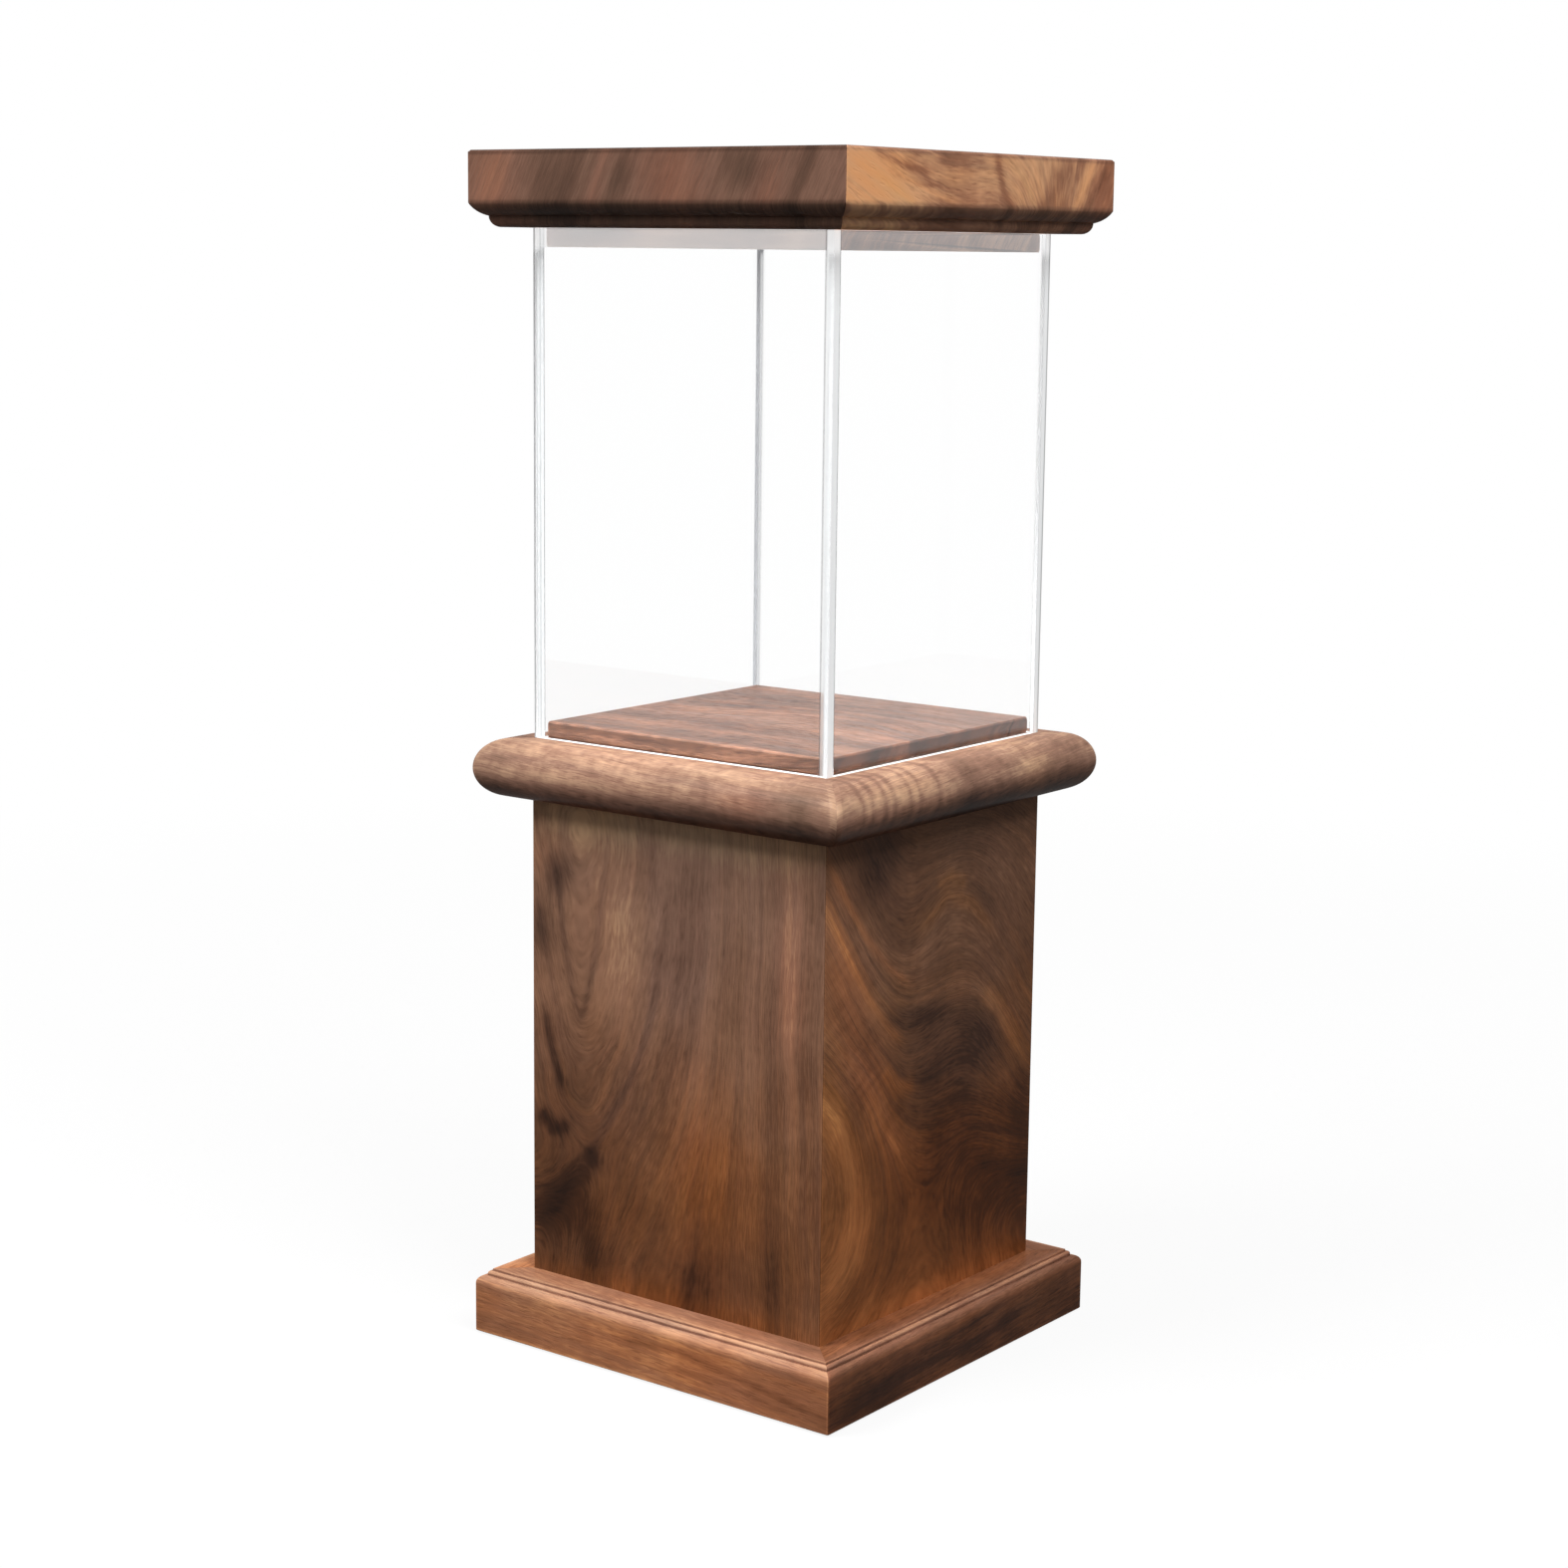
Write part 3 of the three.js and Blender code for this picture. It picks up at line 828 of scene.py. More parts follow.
def flat_slab(half: Point, low: float, high: float, chamfer: float, cells: int = 100) -> Shape:
    """A flat board with broken edges: a chamfered section carried along x.

    Over the last chamfer at both ends, every point of the section moves in by that chamfer.

    Args:
        half: Half its reach in x and y.
        low, high: Height of its underside and top.
        chamfer: Width of the broken edge.
        cells: Number of steps along x.

    Returns:
        The slab's shape.
    """
    (long, wide), c = half, chamfer
    section = outline(
        [(-wide, low + c), (-wide + c, low), (wide - c, low), (wide, low + c)],
        [(wide, high - c), (wide - c, high), (-wide + c, high), (-wide, high - c)],
    )
    x = np.concatenate([[-long], np.linspace(-long + c, long - c, cells + 1), [long]])
    inset = np.zeros((len(x), 1))
    inset[[0, -1]] = c
    middle = (low + high) / 2
    across, above = section[:, 0], section[:, 1] - middle
    y = np.sign(across) * np.maximum(np.abs(across) - inset, 0)
    z = middle + np.sign(above) * np.maximum(np.abs(above) - inset, 0)
    rings = np.stack([np.broadcast_to(x[:, None], y.shape), y, z], -1)
    on_face = np.abs(np.abs(above) - (high - low) / 2) < NEAR_ZERO
    corner = on_face & (np.abs(np.abs(across) - (wide - c)) < NEAR_ZERO)
    edge = np.broadcast_to(corner.astype(float), y.shape).copy()
    # The chamfered ends take the painted edge highlight.
    edge[[0, 1, -2, -1]] = HIGHLIGHT_END
    return Shape(rings, edge, np.zeros(y.shape))


def place_piece(piece: bpy.types.Object, material: Material, body: str, node: str) -> None:
    """Dresses a new piece, puts it on its body and lets it stand for its node.

    Args:
        piece, material: The new piece and its finish.
        body, node: Body that carries it, and the node that it stands for.
    """
    piece.data.materials.append(material)
    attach(piece, body)
    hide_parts(node)
    log.info("%s: %d faces", piece.name, len(piece.data.polygons))


def dress_nodes(material: Material, *names: str) -> None:
    """Gives CAD nodes that stay a better material.

    Args:
        material, names: The material, and the names of the nodes.
    """
    for name in names:
        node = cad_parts[name]
        node.data.materials.clear()
        node.data.materials.append(material)
        log.info("%s: CAD shape, new finish", name)


def place_sides(part: str, suffix: str, body: str, shape: Shape, figures: Sequence[Figure], finish: Walnut,
                tones: Sequence[Sequence[float]], foot: float, outside: float) -> None:
    """Makes the board or rail of every side, each with its own figure and its own walnut.

    Args:
        part, suffix: Start of the names of their nodes, and end of their own.
        body: Name of the body that carries them.
        shape: Their shape at the front.
        figures: Drawn figure of each side, as seen from outside.
        finish: The walnut, whose name each side's copy takes with the side added.
        tones: Tone, gold, red and contrast of each side, where they differ from the finish.
        foot, outside: Height of the lower edge of the face, and its distance out.
    """
    x, y, z = np.moveaxis(shape.rings, -1, 0)
    for side, figure, tone in zip(Side, figures, tones):
        node = f"{part}_{side.label}"
        piece = closed_sweep(f"{node}_{suffix}", side.turn(shape.rings))
        figure.write(piece.data, x, z - foot, outside + y, shape)
        own = dict(zip(("tone", "gold", "red", "contrast"), tone))
        shift = finish.shift + SIDE_SHIFT * side.value
        walnut = replace(finish, name=f"{finish.name}_{side.label}", shift=shift, **own)
        place_piece(piece, walnut.dress(), body, node)


def place_slab(name: str, node: str, body: str, shape: Shape, figure: Figure, top: float,
               finish: Walnut) -> None:
    """Makes a flat board with its figure drawn on its top, along x and y.

    Args:
        name, node: Name of the piece, and of the node that it stands for.
        body: Body that carries it.
        shape: Its shape.
        figure: Its drawn figure.
        top: Height of its top.
        finish: Its walnut.
    """
    piece = closed_sweep(name, shape.rings)
    x, y, z = np.moveaxis(shape.rings, -1, 0)
    figure.write(piece.data, x, y, top - z, shape)
    place_piece(piece, finish.dress(), body, node)


def partners(front: Figure, right: Figure, back: float = 0.0, left: float = 0.0) -> tuple[Figure, ...]:
    """The figures of all sides: the two hidden ones mirror the others, with a lean of their own."""
    return front, right, replace(front, mirrored=True, lean=back), replace(right, mirrored=True, lean=left)


# ---- Drawn figures, with painted light and shade among their marks, and the tones of the walnut

FRONT_BOARD = Figure(upright=True, slant=0.3, contours=(
    (-88, (-92, 335), (-88, 290), (-83, 248), (-78, 290), (-73, 335)),
    (-94, (-83, 335), (-83, 322)),
    (-80, (-108, 335), (-103, 290), (-97, 240), (-91, 212), (-85, 190), (-76, 208), (-70, 232), (-62, 290),
        (-57, 335)),
    (-65, (-127, 290), (-119, 250), (-110, 210), (-102, 172), (-92, 135), (-80, 128), (-62, 165),
        (-47, 215), (-36, 270), (-30, 335)),
    (-50, (-127, 225), (-118, 188), (-108, 150), (-95, 118), (-78, 98), (-56, 123), (-38, 153), (-23, 193),
        (-13, 238), (-4, 285), (-3, 335)),
    (-44, (-127, 62), (-110, 74), (-92, 88)),
    (-30, (22, 335), (20, 250), (10, 190), (-4, 140), (-24, 100), (-44, 60), (-58, 25), (-62, 0)),
    (0, (45, 335), (44, 250), (40, 180), (30, 120), (20, 70), (12, 0)),
    (40, (72, 335), (71, 200), (73, 100), (76, 0)),
    (75, (98, 335), (96, 200), (99, 100), (101, 0)),
    (103, (125, 335), (123, 170), (125, 0)),
    (-62, (-95, 0), (-90, 40), (-82, 70)),
    (-80, (-120, 0), (-118, 30)),
), features=(
    Patch(-103, 290, 11, 15, -0.26, -0.7),
    Patch(-121, 250, 12, 18, -0.24, -0.5),
    Patch(-120, 305, 16, 22, 0.1, 0.3, 0.3),
    Streak(((-116, 192), (-109, 165), (-98, 135)), 4.5, -0.24, -0.2),
    Streak(((-122, 118), (-108, 106), (-92, 112)), 6, -0.24, -0.3),
    Patch(-100, 45, 46, 62, -0.24, -0.1, -0.1),
    Patch(-68, 14, 12, 22, -0.16),
    Patch(-71, 92, 8, 9, -0.28, -0.5),
    Streak(((-74, 88), (-92, 70), (-112, 46), (-127, 36)), 9, -0.15, -0.3),
    Streak(((-3, 300), (-8, 262), (-13, 235), (-18, 205), (-26, 180), (-38, 153), (-56, 123),
        (-72, 98)), 4, -0.12, -0.7),
    Streak(((-58, 325), (-62, 290), (-70, 232), (-80, 195), (-84, 188)), 3, -0.12, -0.3),
    Streak(((-104, 292), (-98, 245), (-91, 212), (-84, 190)), 3, -0.12, -0.3),
    Patch(8, 290, 24, 100, -0.02, -1, 0.1),
    Patch(-50, 245, 24, 75, 0.1, 0.15),
    Patch(99, 250, 13, 75, 0.1, -0.1, 0.8),
    Patch(30, 110, 34, 60, 0.04, 0.5, 0.4),
    Patch(25, 14, 40, 34, -0.14, -0.1, 0.3),
    Patch(85, 30, 20, 50, -0.08),
    Patch(0, 0, 150, 16, 0.05, 0.6, 0.2),
    Patch(0, 290, 220, 100, 0.09, -0.7, -0.5),
    # Painted light: the strip just under the deck, which the deck shades, is lightened.
    Patch(0, 338, 220, 22, 0.36, -0.3, -0.6),
    Patch(-60, 235, 70, 60, 0.05),
    Patch(-105, 125, 22, 40, -0.08),
    Patch(-74, 100, 18, 40, 0.05),
    Patch(0, 50, 220, 90, -0.07, 0.6, 0.3),
))

RIGHT_BOARD = Figure(upright=True, slant=0.3, contours=(
    (-10, (-127, 140), (-115, 125), (-110, 100), (-112, 75), (-127, 62)),
    (0, (-127, 165), (-110, 150), (-98, 128), (-92, 100), (-93, 75), (-101, 55), (-115, 45), (-127, 40)),
    (24, (-127, 190), (-104, 163), (-84, 130), (-76, 95), (-77, 60), (-90, 35), (-127, 20)),
    (54, (-127, 215), (-105, 195), (-85, 178), (-65, 152), (-45, 125), (-25, 95), (0, 62), (18, 30), (26, 0)),
    (88, (-127, 262), (-100, 225), (-80, 200), (-60, 178), (-42, 152), (-15, 140), (25, 140), (60, 130),
        (100, 112), (127, 98)),
    (122, (-127, 300), (-98, 258), (-77, 228), (-55, 204), (-35, 190), (-10, 192), (20, 200), (50, 195),
        (75, 178), (100, 150), (127, 122)),
    (156, (-127, 330), (-104, 298), (-80, 268), (-52, 242), (-25, 230), (5, 229), (40, 228), (65, 215),
        (88, 190), (108, 168), (127, 148)),
    (177, (-108, 338), (-82, 300), (-57, 268), (-37, 254), (-15, 262), (15, 282), (45, 272), (72, 248),
        (100, 216), (127, 186)),
    (197, (-78, 338), (-57, 308), (-32, 292), (0, 298), (30, 302), (60, 290), (92, 258), (127, 222)),
    (218, (-40, 335), (-10, 325), (30, 325), (70, 315), (100, 295), (127, 268)),
    (17, (90, 0), (80, 30), (95, 45), (127, 50)),
    (51, (45, 100), (75, 92), (127, 76)),
), features=(
    Streak(((-140, 182), (-114, 158), (-99, 130), (-92, 100), (-94, 70), (-106, 44),
        (-140, 22)), 9, 0.13, 1.4),
    Patch(-108, 62, 18, 26, 0.06, 0.9),
    Patch(-100, 240, 26, 84, 0.1, 0, 0.5, 0.25, turn=28),
    Patch(-75, 165, 20, 70, 0.06, 0.2, 0.5, 0.25, turn=30),
    Streak(((-127, 330), (-104, 299), (-80, 270), (-52, 244), (-28, 229)), 4, 0.12, 0.3, 0.4),
    Streak(((-127, 300), (-98, 259), (-77, 230), (-55, 205), (-34, 188)), 5, 0.1, 0.5, 0.2),
    Streak(((-60, 176), (-42, 160), (-20, 158)), 8, 0.1, 0.5, 0.3),
    Patch(-70, 322, 22, 26, -0.22, -0.7),
    Patch(-15, 205, 34, 8, -0.16, -0.6, turn=-6),
    Patch(12, 165, 62, 34, -0.19, -0.4),
    Patch(60, 118, 80, 26, -0.11, 0, 0.2),
    Patch(0, 95, 40, 26, -0.08),
    Patch(62, 172, 26, 20, -0.1, -0.5, turn=-35),
    Patch(100, 44, 70, 56, -0.26, -0.1, 0.5),
    Patch(50, 14, 60, 20, 0.06, 0.2, 0.2),
    Patch(-78, 70, 16, 60, 0.12, 0.3, 0.1),
    Patch(-112, 130, 16, 60, 0.06, 0.2),
    Patch(20, 90, 50, 40, -0.1, 0, 0.7),
    Streak(((-20, 262), (15, 284), (45, 274), (72, 250)), 6, 0.06, 0.5),
    Streak(((0, 292), (18, 296), (40, 288)), 6, 0.08, 0.6),
    Streak(((58, 210), (80, 192), (103, 166), (127, 143)), 8, 0.12, 0.4),
    Streak(((45, 112), (75, 104), (127, 90)), 4, -0.08, -0.2),
    Streak(((60, 82), (90, 72), (127, 56)), 6, -0.08, -0.2),
    Streak(((-52, 130), (-40, 115), (-28, 98)), 2, 0.12, 0),
    Patch(60, 300, 70, 50, 0, -0.3, -0.1),
    Patch(0, 0, 150, 16, 0.2, 0.9, 0.4),
    Patch(0, 290, 220, 110, 0, -0.4, -0.4),
    # Painted light: the strip just under the deck, which the deck shades, is lightened.
    Patch(0, 338, 220, 20, 0.12, -0.2, -0.3),
    Patch(-122, 160, 18, 230, 0.1, 0.2),
    Patch(120, 110, 20, 70, -0.1),
    Patch(0, 50, 220, 90, -0.02, 0.7, 0.4),
))

BOARD_FIGURES = partners(FRONT_BOARD, RIGHT_BOARD)

# Painted shade: the moulding under the lid's face, where the face shades it, is darkened.
LID_MOULDING_SHADE = Patch(0, 13.6, 400, 2.9, -0.28, -0.4, -0.6)
LID_ARRIS = Streak(((-400, 50.6), (400, 50.6)), 1.6, -0.45, -1, -0.3)

LID_FRONT = Figure(lean=64, features=(
    Patch(-136, 28, 26, 45, 0.05, 0.6, 0.9, turn=-20),
    Patch(-82, 26, 22, 40, -0.13, -0.4, -0.3, turn=-22),
    Streak(((-52, 6), (-32, 56)), 6, 0, 0.1, 0.6),
    Patch(-24, 30, 9, 16, -0.16, -0.4, -0.4, turn=-20),
    Patch(20, 28, 34, 40, 0.03, 0.2, 0.8, turn=-22),
    Patch(78, 36, 14, 16, -0.16, -0.6, -0.5, turn=-15),
    Patch(94, 22, 14, 30, 0.04, 0.2, 0.7, turn=-22),
    Streak(((104, -6), (134, 56)), 6, -0.1, -0.2, -0.2),
    Patch(140, 26, 14, 40, 0.02, -0.2, 0.1, turn=-20),
    LID_MOULDING_SHADE,
    LID_ARRIS,
))

LID_RIGHT = Figure(contours=(
    (10, (-157, 48), (-125, 38), (-95, 24), (-60, 12), (-30, 6), (0, 2)),
    (22, (-130, 50), (-100, 42), (-60, 30), (-20, 24), (10, 26), (30, 20), (52, 0)),
    (35, (-90, 54), (-40, 46), (0, 46), (28, 38), (48, 20), (64, 0)),
    (48, (56, 60), (66, 40), (74, 20), (78, 0)),
    (60, (105, 60), (102, 40), (98, 20), (92, 0)),
    (75, (150, 50), (132, 22), (114, 0)),
), features=(
    Patch(-32, 10, 36, 12, -0.16, 0, 0.3),
    Patch(-115, 25, 45, 34, 0.04, 0.2),
    Streak(((-156, 44), (-128, 34), (-104, 24), (-82, 12)), 7, 0.16, 0.2),
    Streak(((-146, 18), (-120, 12)), 7, 0.1, 0.1),
    Streak(((-128, 47), (-96, 40), (-64, 36)), 3, -0.14, 0, 0.2),
    Streak(((-118, 38), (-88, 30), (-56, 28)), 2, -0.12, 0, 0.2),
    Streak(((-60, 46), (-30, 44), (0, 47)), 6, -0.1, -0.2),
    LID_MOULDING_SHADE,
    LID_ARRIS,
    Streak(((6, 60), (12, 40), (18, 26), (32, 12)), 4, -0.2, 0, 0.2),
    Streak(((52, -6), (74, 20), (90, 44)), 10, -0.2),
    Streak(((86, -6), (108, 22), (132, 50)), 5, 0.14, 0.2),
    Streak(((100, -6), (124, 20), (152, 48)), 4, -0.14),
    Patch(147, 22, 24, 40, -0.2, -0.4, 0.5),
    Patch(105, 24, 36, 50, -0.12, -0.1),
    Streak(((-152, 46), (-122, 34), (-88, 16)), 3, -0.1),
    Streak(((-100, 44), (-64, 30), (-24, 24)), 3, -0.08),
))

LID_FIGURES = partners(LID_FRONT, LID_RIGHT, 18)

DECK_FRONT = Figure(lean=-4, features=(
    Patch(124, 26, 17, 26, -0.18, -1.2, -0.5),
    # Painted highlight at the near corner of the bullnose.
    Patch(150, 30, 8, 9, 0.08, -1.5, 0.3),
    # Painted light and shade down the bullnose: a dark underside as painted shade, a lighter band above it, a
    # greyer painted sheen on the upper round and a lighter flat top as painted light.
    Patch(0, 9, 400, 6.5, -0.31, 0.3, 0.4),
    Patch(0, 21, 400, 6, 0.06, -0.4),
    Patch(0, 36, 400, 12, 0.04, -1, -0.2),
    Patch(0, 58, 400, 12, 0.05, -0.9, 0.1),
    Patch(78, 24, 34, 14, -0.04, 0.2, 0.8),
    Patch(-60, 30, 70, 30, 0.05, 0, 0.4),
    Streak(((-150, 30), (-90, 36), (-20, 28)), 3, -0.12),
))

DECK_RIGHT = Figure(lean=6, features=(
    *(Streak(((at, 8), (at + 5, 74)), 2.6, -0.13, -0.1) for at in (-130, -119, -105, -95, -77, -66, -44)),
    Patch(-4, 30, 14, 40, -0.16, -0.3),
    Patch(28, 26, 18, 40, -0.08, -0.2),
    Patch(70, 30, 20, 40, 0.06, 0.3),
    Patch(112, 20, 24, 40, -0.08, 0.1),
    Patch(-90, 30, 50, 40, 0.08, 0.2, 0.2, 0.3),
    # Painted highlight at the near corner of the bullnose.
    Patch(-152, 30, 7, 9, 0.02, -0.6),
    # Painted shade on the bullnose's underside, and painted light on a band of its upper round.
    Patch(0, 10, 400, 9.5, -0.46, 0.5, 0.4),
    Patch(0, 28, 400, 7, 0.1),
    Patch(70, 30, 90, 12, -0.09),
    # Painted light: the top lighter.
    Patch(0, 62, 400, 20, 0.03),
))

DECK_FIGURES = partners(DECK_FRONT, DECK_RIGHT, 5, -6)

# Painted shade: dark lines in the quirks of the base moulding, where shade falls in the creases.
MOULDING_CREASE_SHADE = (
    Streak(((-400, 46.4), (400, 46.4)), 0.9, -0.22),
    Streak(((-400, 51.4), (400, 51.4)), 0.7, -0.2),
)

BASE_FRONT = Figure(lean=-3, features=(
    Patch(0, 70, 400, 22, 0, -0.5, -0.2),
    Patch(130, 70, 50, 22, -0.1),
    Streak(((-30, 24), (30, 28), (85, 20), (150, 12)), 2.6, -0.18),
    Streak(((10, 14), (70, 15), (130, 6)), 1.8, -0.12),
    Patch(100, 20, 60, 40, -0.05, 0, 0.2),
    # Painted highlight: the moulding lighter and greyer, the more so towards the near corner.
    Patch(0, 46, 400, 9, 0.1, -1.2, -0.4),
    Patch(120, 46, 90, 9, 0.1),
    Patch(158, 8, 24, 20, -0.16),
    Patch(20, 24, 60, 16, 0.07, 0.2, 0.2),
    Patch(-150, 12, 40, 20, -0.05),
    *MOULDING_CREASE_SHADE,
))

BASE_RIGHT = Figure(lean=4, features=(
    Streak(((-130, 12), (-60, 18), (10, 14), (90, 24)), 5, -0.14, -0.5),
    Streak(((-90, 30), (-20, 26), (60, 34)), 4, -0.1, -0.3),
    Patch(-154, 30, 10, 40, 0.06, 0, 0.4),
    # Painted light: the top and the moulding lighter, the moulding greyer as a painted highlight.
    Patch(0, 66, 300, 20, 0.32, 0.2, 0.2),
    Patch(0, 47, 400, 9, 0.32, -1.2, -0.3),
    Patch(-120, 8, 60, 16, -0.14),
    # Painted light: the upper face lighter than its foot.
    Patch(0, 30, 400, 8, 0.11),
    *MOULDING_CREASE_SHADE,
))

BASE_FIGURES = partners(BASE_FRONT, BASE_RIGHT, 3, -4)

# Tones by side: front, right, back, left. The back tones are raised as painted light, to lighten the back,
# which the lamps leave in shade.
BOARD_TONES = (
    (0.57, 0.05, 0.05, 0.8),
    (0.48, 0.4, 0.15, 0.85),
    (0.64, 0.2, 0.15, 0.8),
    (0.52, 0.3, 0.2, 0.85),
)
BASE_TONES = ((0.77,), (0.32,), (0.72,), (0.5,))
DECK_TONES = ((0.74,), (0.79,), (0.74,), (0.68,))
LID_TONES = (
    (0.57, -1.3, -0.3, 0.5),
    (0.95, 0.05, 0.3, 1.0),
    (0.7, 0.1, 0.2, 0.9),
    (0.75, 0.2, 0.2, 1.0),
)

TOP_FIGURE = Figure(features=(
    Patch(120.5, 0, 2.5, 400, -0.75, 0.8, 2),
    Patch(-20, -130, 160, 10, -0.04),
), contours=(
    (-110, (-118, -108), (0, -104), (118, -110)),
    (-60, (-118, -66), (-40, -58), (40, -52), (118, -60)),
    (-20, (-118, -30), (-60, -24), (0, -6), (60, -10), (118, -24)),
    (0, (-118, -8), (-70, -4), (0, 24), (60, 18), (118, -4)),
    (30, (-118, 26), (-60, 34), (0, 44), (60, 42), (118, 28)),
    (80, (-118, 80), (0, 84), (118, 78)),
))

PLUG_FIGURE = Figure(TOP_FIGURE.contours, (
    Patch(118, 86, 9, 22, -0.6),
    Patch(118, -50, 9, 60, -0.25, 0.5),
    Patch(118, 30, 9, 14, 0.2),
    Patch(-70, -118, 30, 9, -0.25),
    Patch(-20, -118, 16, 9, 0.2),
    Patch(60, -118, 14, 9, -0.2),
))

PLY = PaleWood("panel_ply", linear(214, 186, 144), linear(176, 142, 100), band=9.0, layers=1.6).dress()
PINE = PaleWood("block_pine", linear(222, 190, 140), linear(190, 146, 92), band=5.0).dress()
BRASS = Brass().dress()


# ---- Sub-assemblies


@dataclass(frozen=True)
class Base:
    """Moulded base: four mitred rails, a ply bottom in their ledge, four felt pads and four screws."""

    half: float = 156.6
    inside: float = 102.0
    ledge: float = 109.0
    bottom: float = 1.65
    soft: float = 0.5
    ledge_up: float = 8.0
    face_top: float = 36.9
    round_in: float = 151.2
    round_top: float = 42.3
    quirk_in: float = 150.2
    quirk_top: float = 43.5
    bead_in: float = 148.2
    bead_top: float = 45.7
    cap_in: float = 147.6
    cap_draft: float = 0.2
    top: float = 47.0
    ease: float = 1.6
    pad_out: float = 132.8
    pad_radius: float = 14.0
    pad_foot: Path = ((-0.6, 0), (-0.1, 0.3), (0, 0.8))
    pad_head: Path = ((-0.1, -0.2), (-0.3, 0))
    pad_steps: int = 64

    def rail_shape(self) -> Shape:
        """The rail: upright face, large round, quirk, bead and cap up to a flat top.

        Returns:
            The rail's shape at the front.
        """
        half, low, soft = self.half, self.bottom, self.soft
        round_reach = (half - self.round_in, self.round_top - self.face_top)
        bead_reach = (self.quirk_in - self.bead_in, self.bead_top - self.quirk_top)
        profile = outline(
            [(self.ledge, low), (half - soft, low), (half, low + soft)],
            rounded((self.round_in, self.face_top), round_reach, 0, 90),
            [(self.quirk_in, self.round_top)],
            rounded((self.bead_in, self.quirk_top), bead_reach, 0, 90, 6),
            [(self.cap_in, self.bead_top), (self.cap_in - self.cap_draft, self.top)],
            [(self.inside, self.top), (self.inside, self.ledge_up), (self.ledge, self.ledge_up)],
        )
        return mitred_rail(profile, self.cap_in, half, self.ease)

    def place_pads(self) -> None:
        """Makes the felt pads: turned, with a soft lower edge and a barely broken upper one."""
        felt, reach = Felt().dress(), np.array([self.pad_radius, 0])
        profile = np.concatenate([reach + self.pad_foot, reach + [0, self.bottom] + self.pad_head])
        radius, up = profile.T[..., None]
        angle = np.linspace(0, 2 * math.pi, self.pad_steps, endpoint=False)
        x, y = self.pad_out + radius * np.cos(angle), radius * np.sin(angle) - self.pad_out
        rings = np.stack(np.broadcast_arrays(x, y, up), -1)
        for side, corner in zip(Side, CORNERS):
            piece = closed_sweep(f"foot_pad_{corner}_felt", side.turn(rings))
            place_piece(piece, felt, "pedestal", f"foot_pad_{corner}")

    def build(self) -> None:
        """Makes the rails and pads, and dresses the bottom and the screws."""
        walnut = Walnut("base_walnut", gold=0.35, red=0.65, contrast=0.85, shift=11.0,
                        roughness=0.38, worn=0.14)
        place_sides("base_rail", "moulded", "pedestal", self.rail_shape(), BASE_FIGURES, walnut, BASE_TONES,
                    self.bottom, self.half)
        self.place_pads()
        dress_nodes(PLY, "base_panel")
        dress_nodes(BRASS, *(f"base_screw_{side.label}" for side in Side))


@dataclass(frozen=True)
class Pedestal:
    """Square pedestal: four figured boards with mitred corners and four glue blocks inside."""

    half: float = 127.0
    inside: float = 108.0
    foot: float = 47.0
    height: float = 342.2
    arris: float = 1.6
    spacing: float = 1.7
    worn_in: float = 0.1
    worn_over: float = 0.4
    at_mitre: float = 0.05

    def board_shape(self, rows: int = 210) -> Shape:
        """The board: its plan, with half an eased corner at each end, carried straight up.

        Args:
            rows: Steps up the board.

        Returns:
            The board's shape at the front.
        """
        arris_in, radii = self.half - self.arris, (self.arris, self.arris)
        plan = outline(
            [(-self.inside, -self.inside)],
            rounded((-arris_in, -arris_in), radii, 225, 270, 6),
            rounded((arris_in, -arris_in), radii, 270, 315, 6),
            [(self.inside, -self.inside)],
            spacing=self.spacing,
        )
        across, deep = plan.T
        height = self.foot + self.height * np.linspace(0, 1, rows + 1)[:, None]
        rings = np.stack(np.broadcast_arrays(across, deep, height), -1)
        # Share of the painted edge highlight, rising over the eased corners.
        edge = np.clip((np.abs(across) - arris_in + self.worn_in) / self.worn_over, 0, 1)
        mitre = (np.abs(np.abs(across) - np.abs(deep)) < self.at_mitre).astype(float)
        return Shape(rings, np.broadcast_to(edge, rings.shape[:2]), np.broadcast_to(mitre, rings.shape[:2]))

    def build(self) -> None:
        """Makes the boards and dresses the glue blocks."""
        walnut = Walnut("pedestal_walnut", shift=40.0, roughness=0.42, pores=0.05)
        place_sides("pedestal_board", "figured", "pedestal", self.board_shape(), BOARD_FIGURES, walnut,
                    BOARD_TONES, self.foot, self.half)
        dress_nodes(PINE, *(f"corner_block_{corner}" for corner in CORNERS))


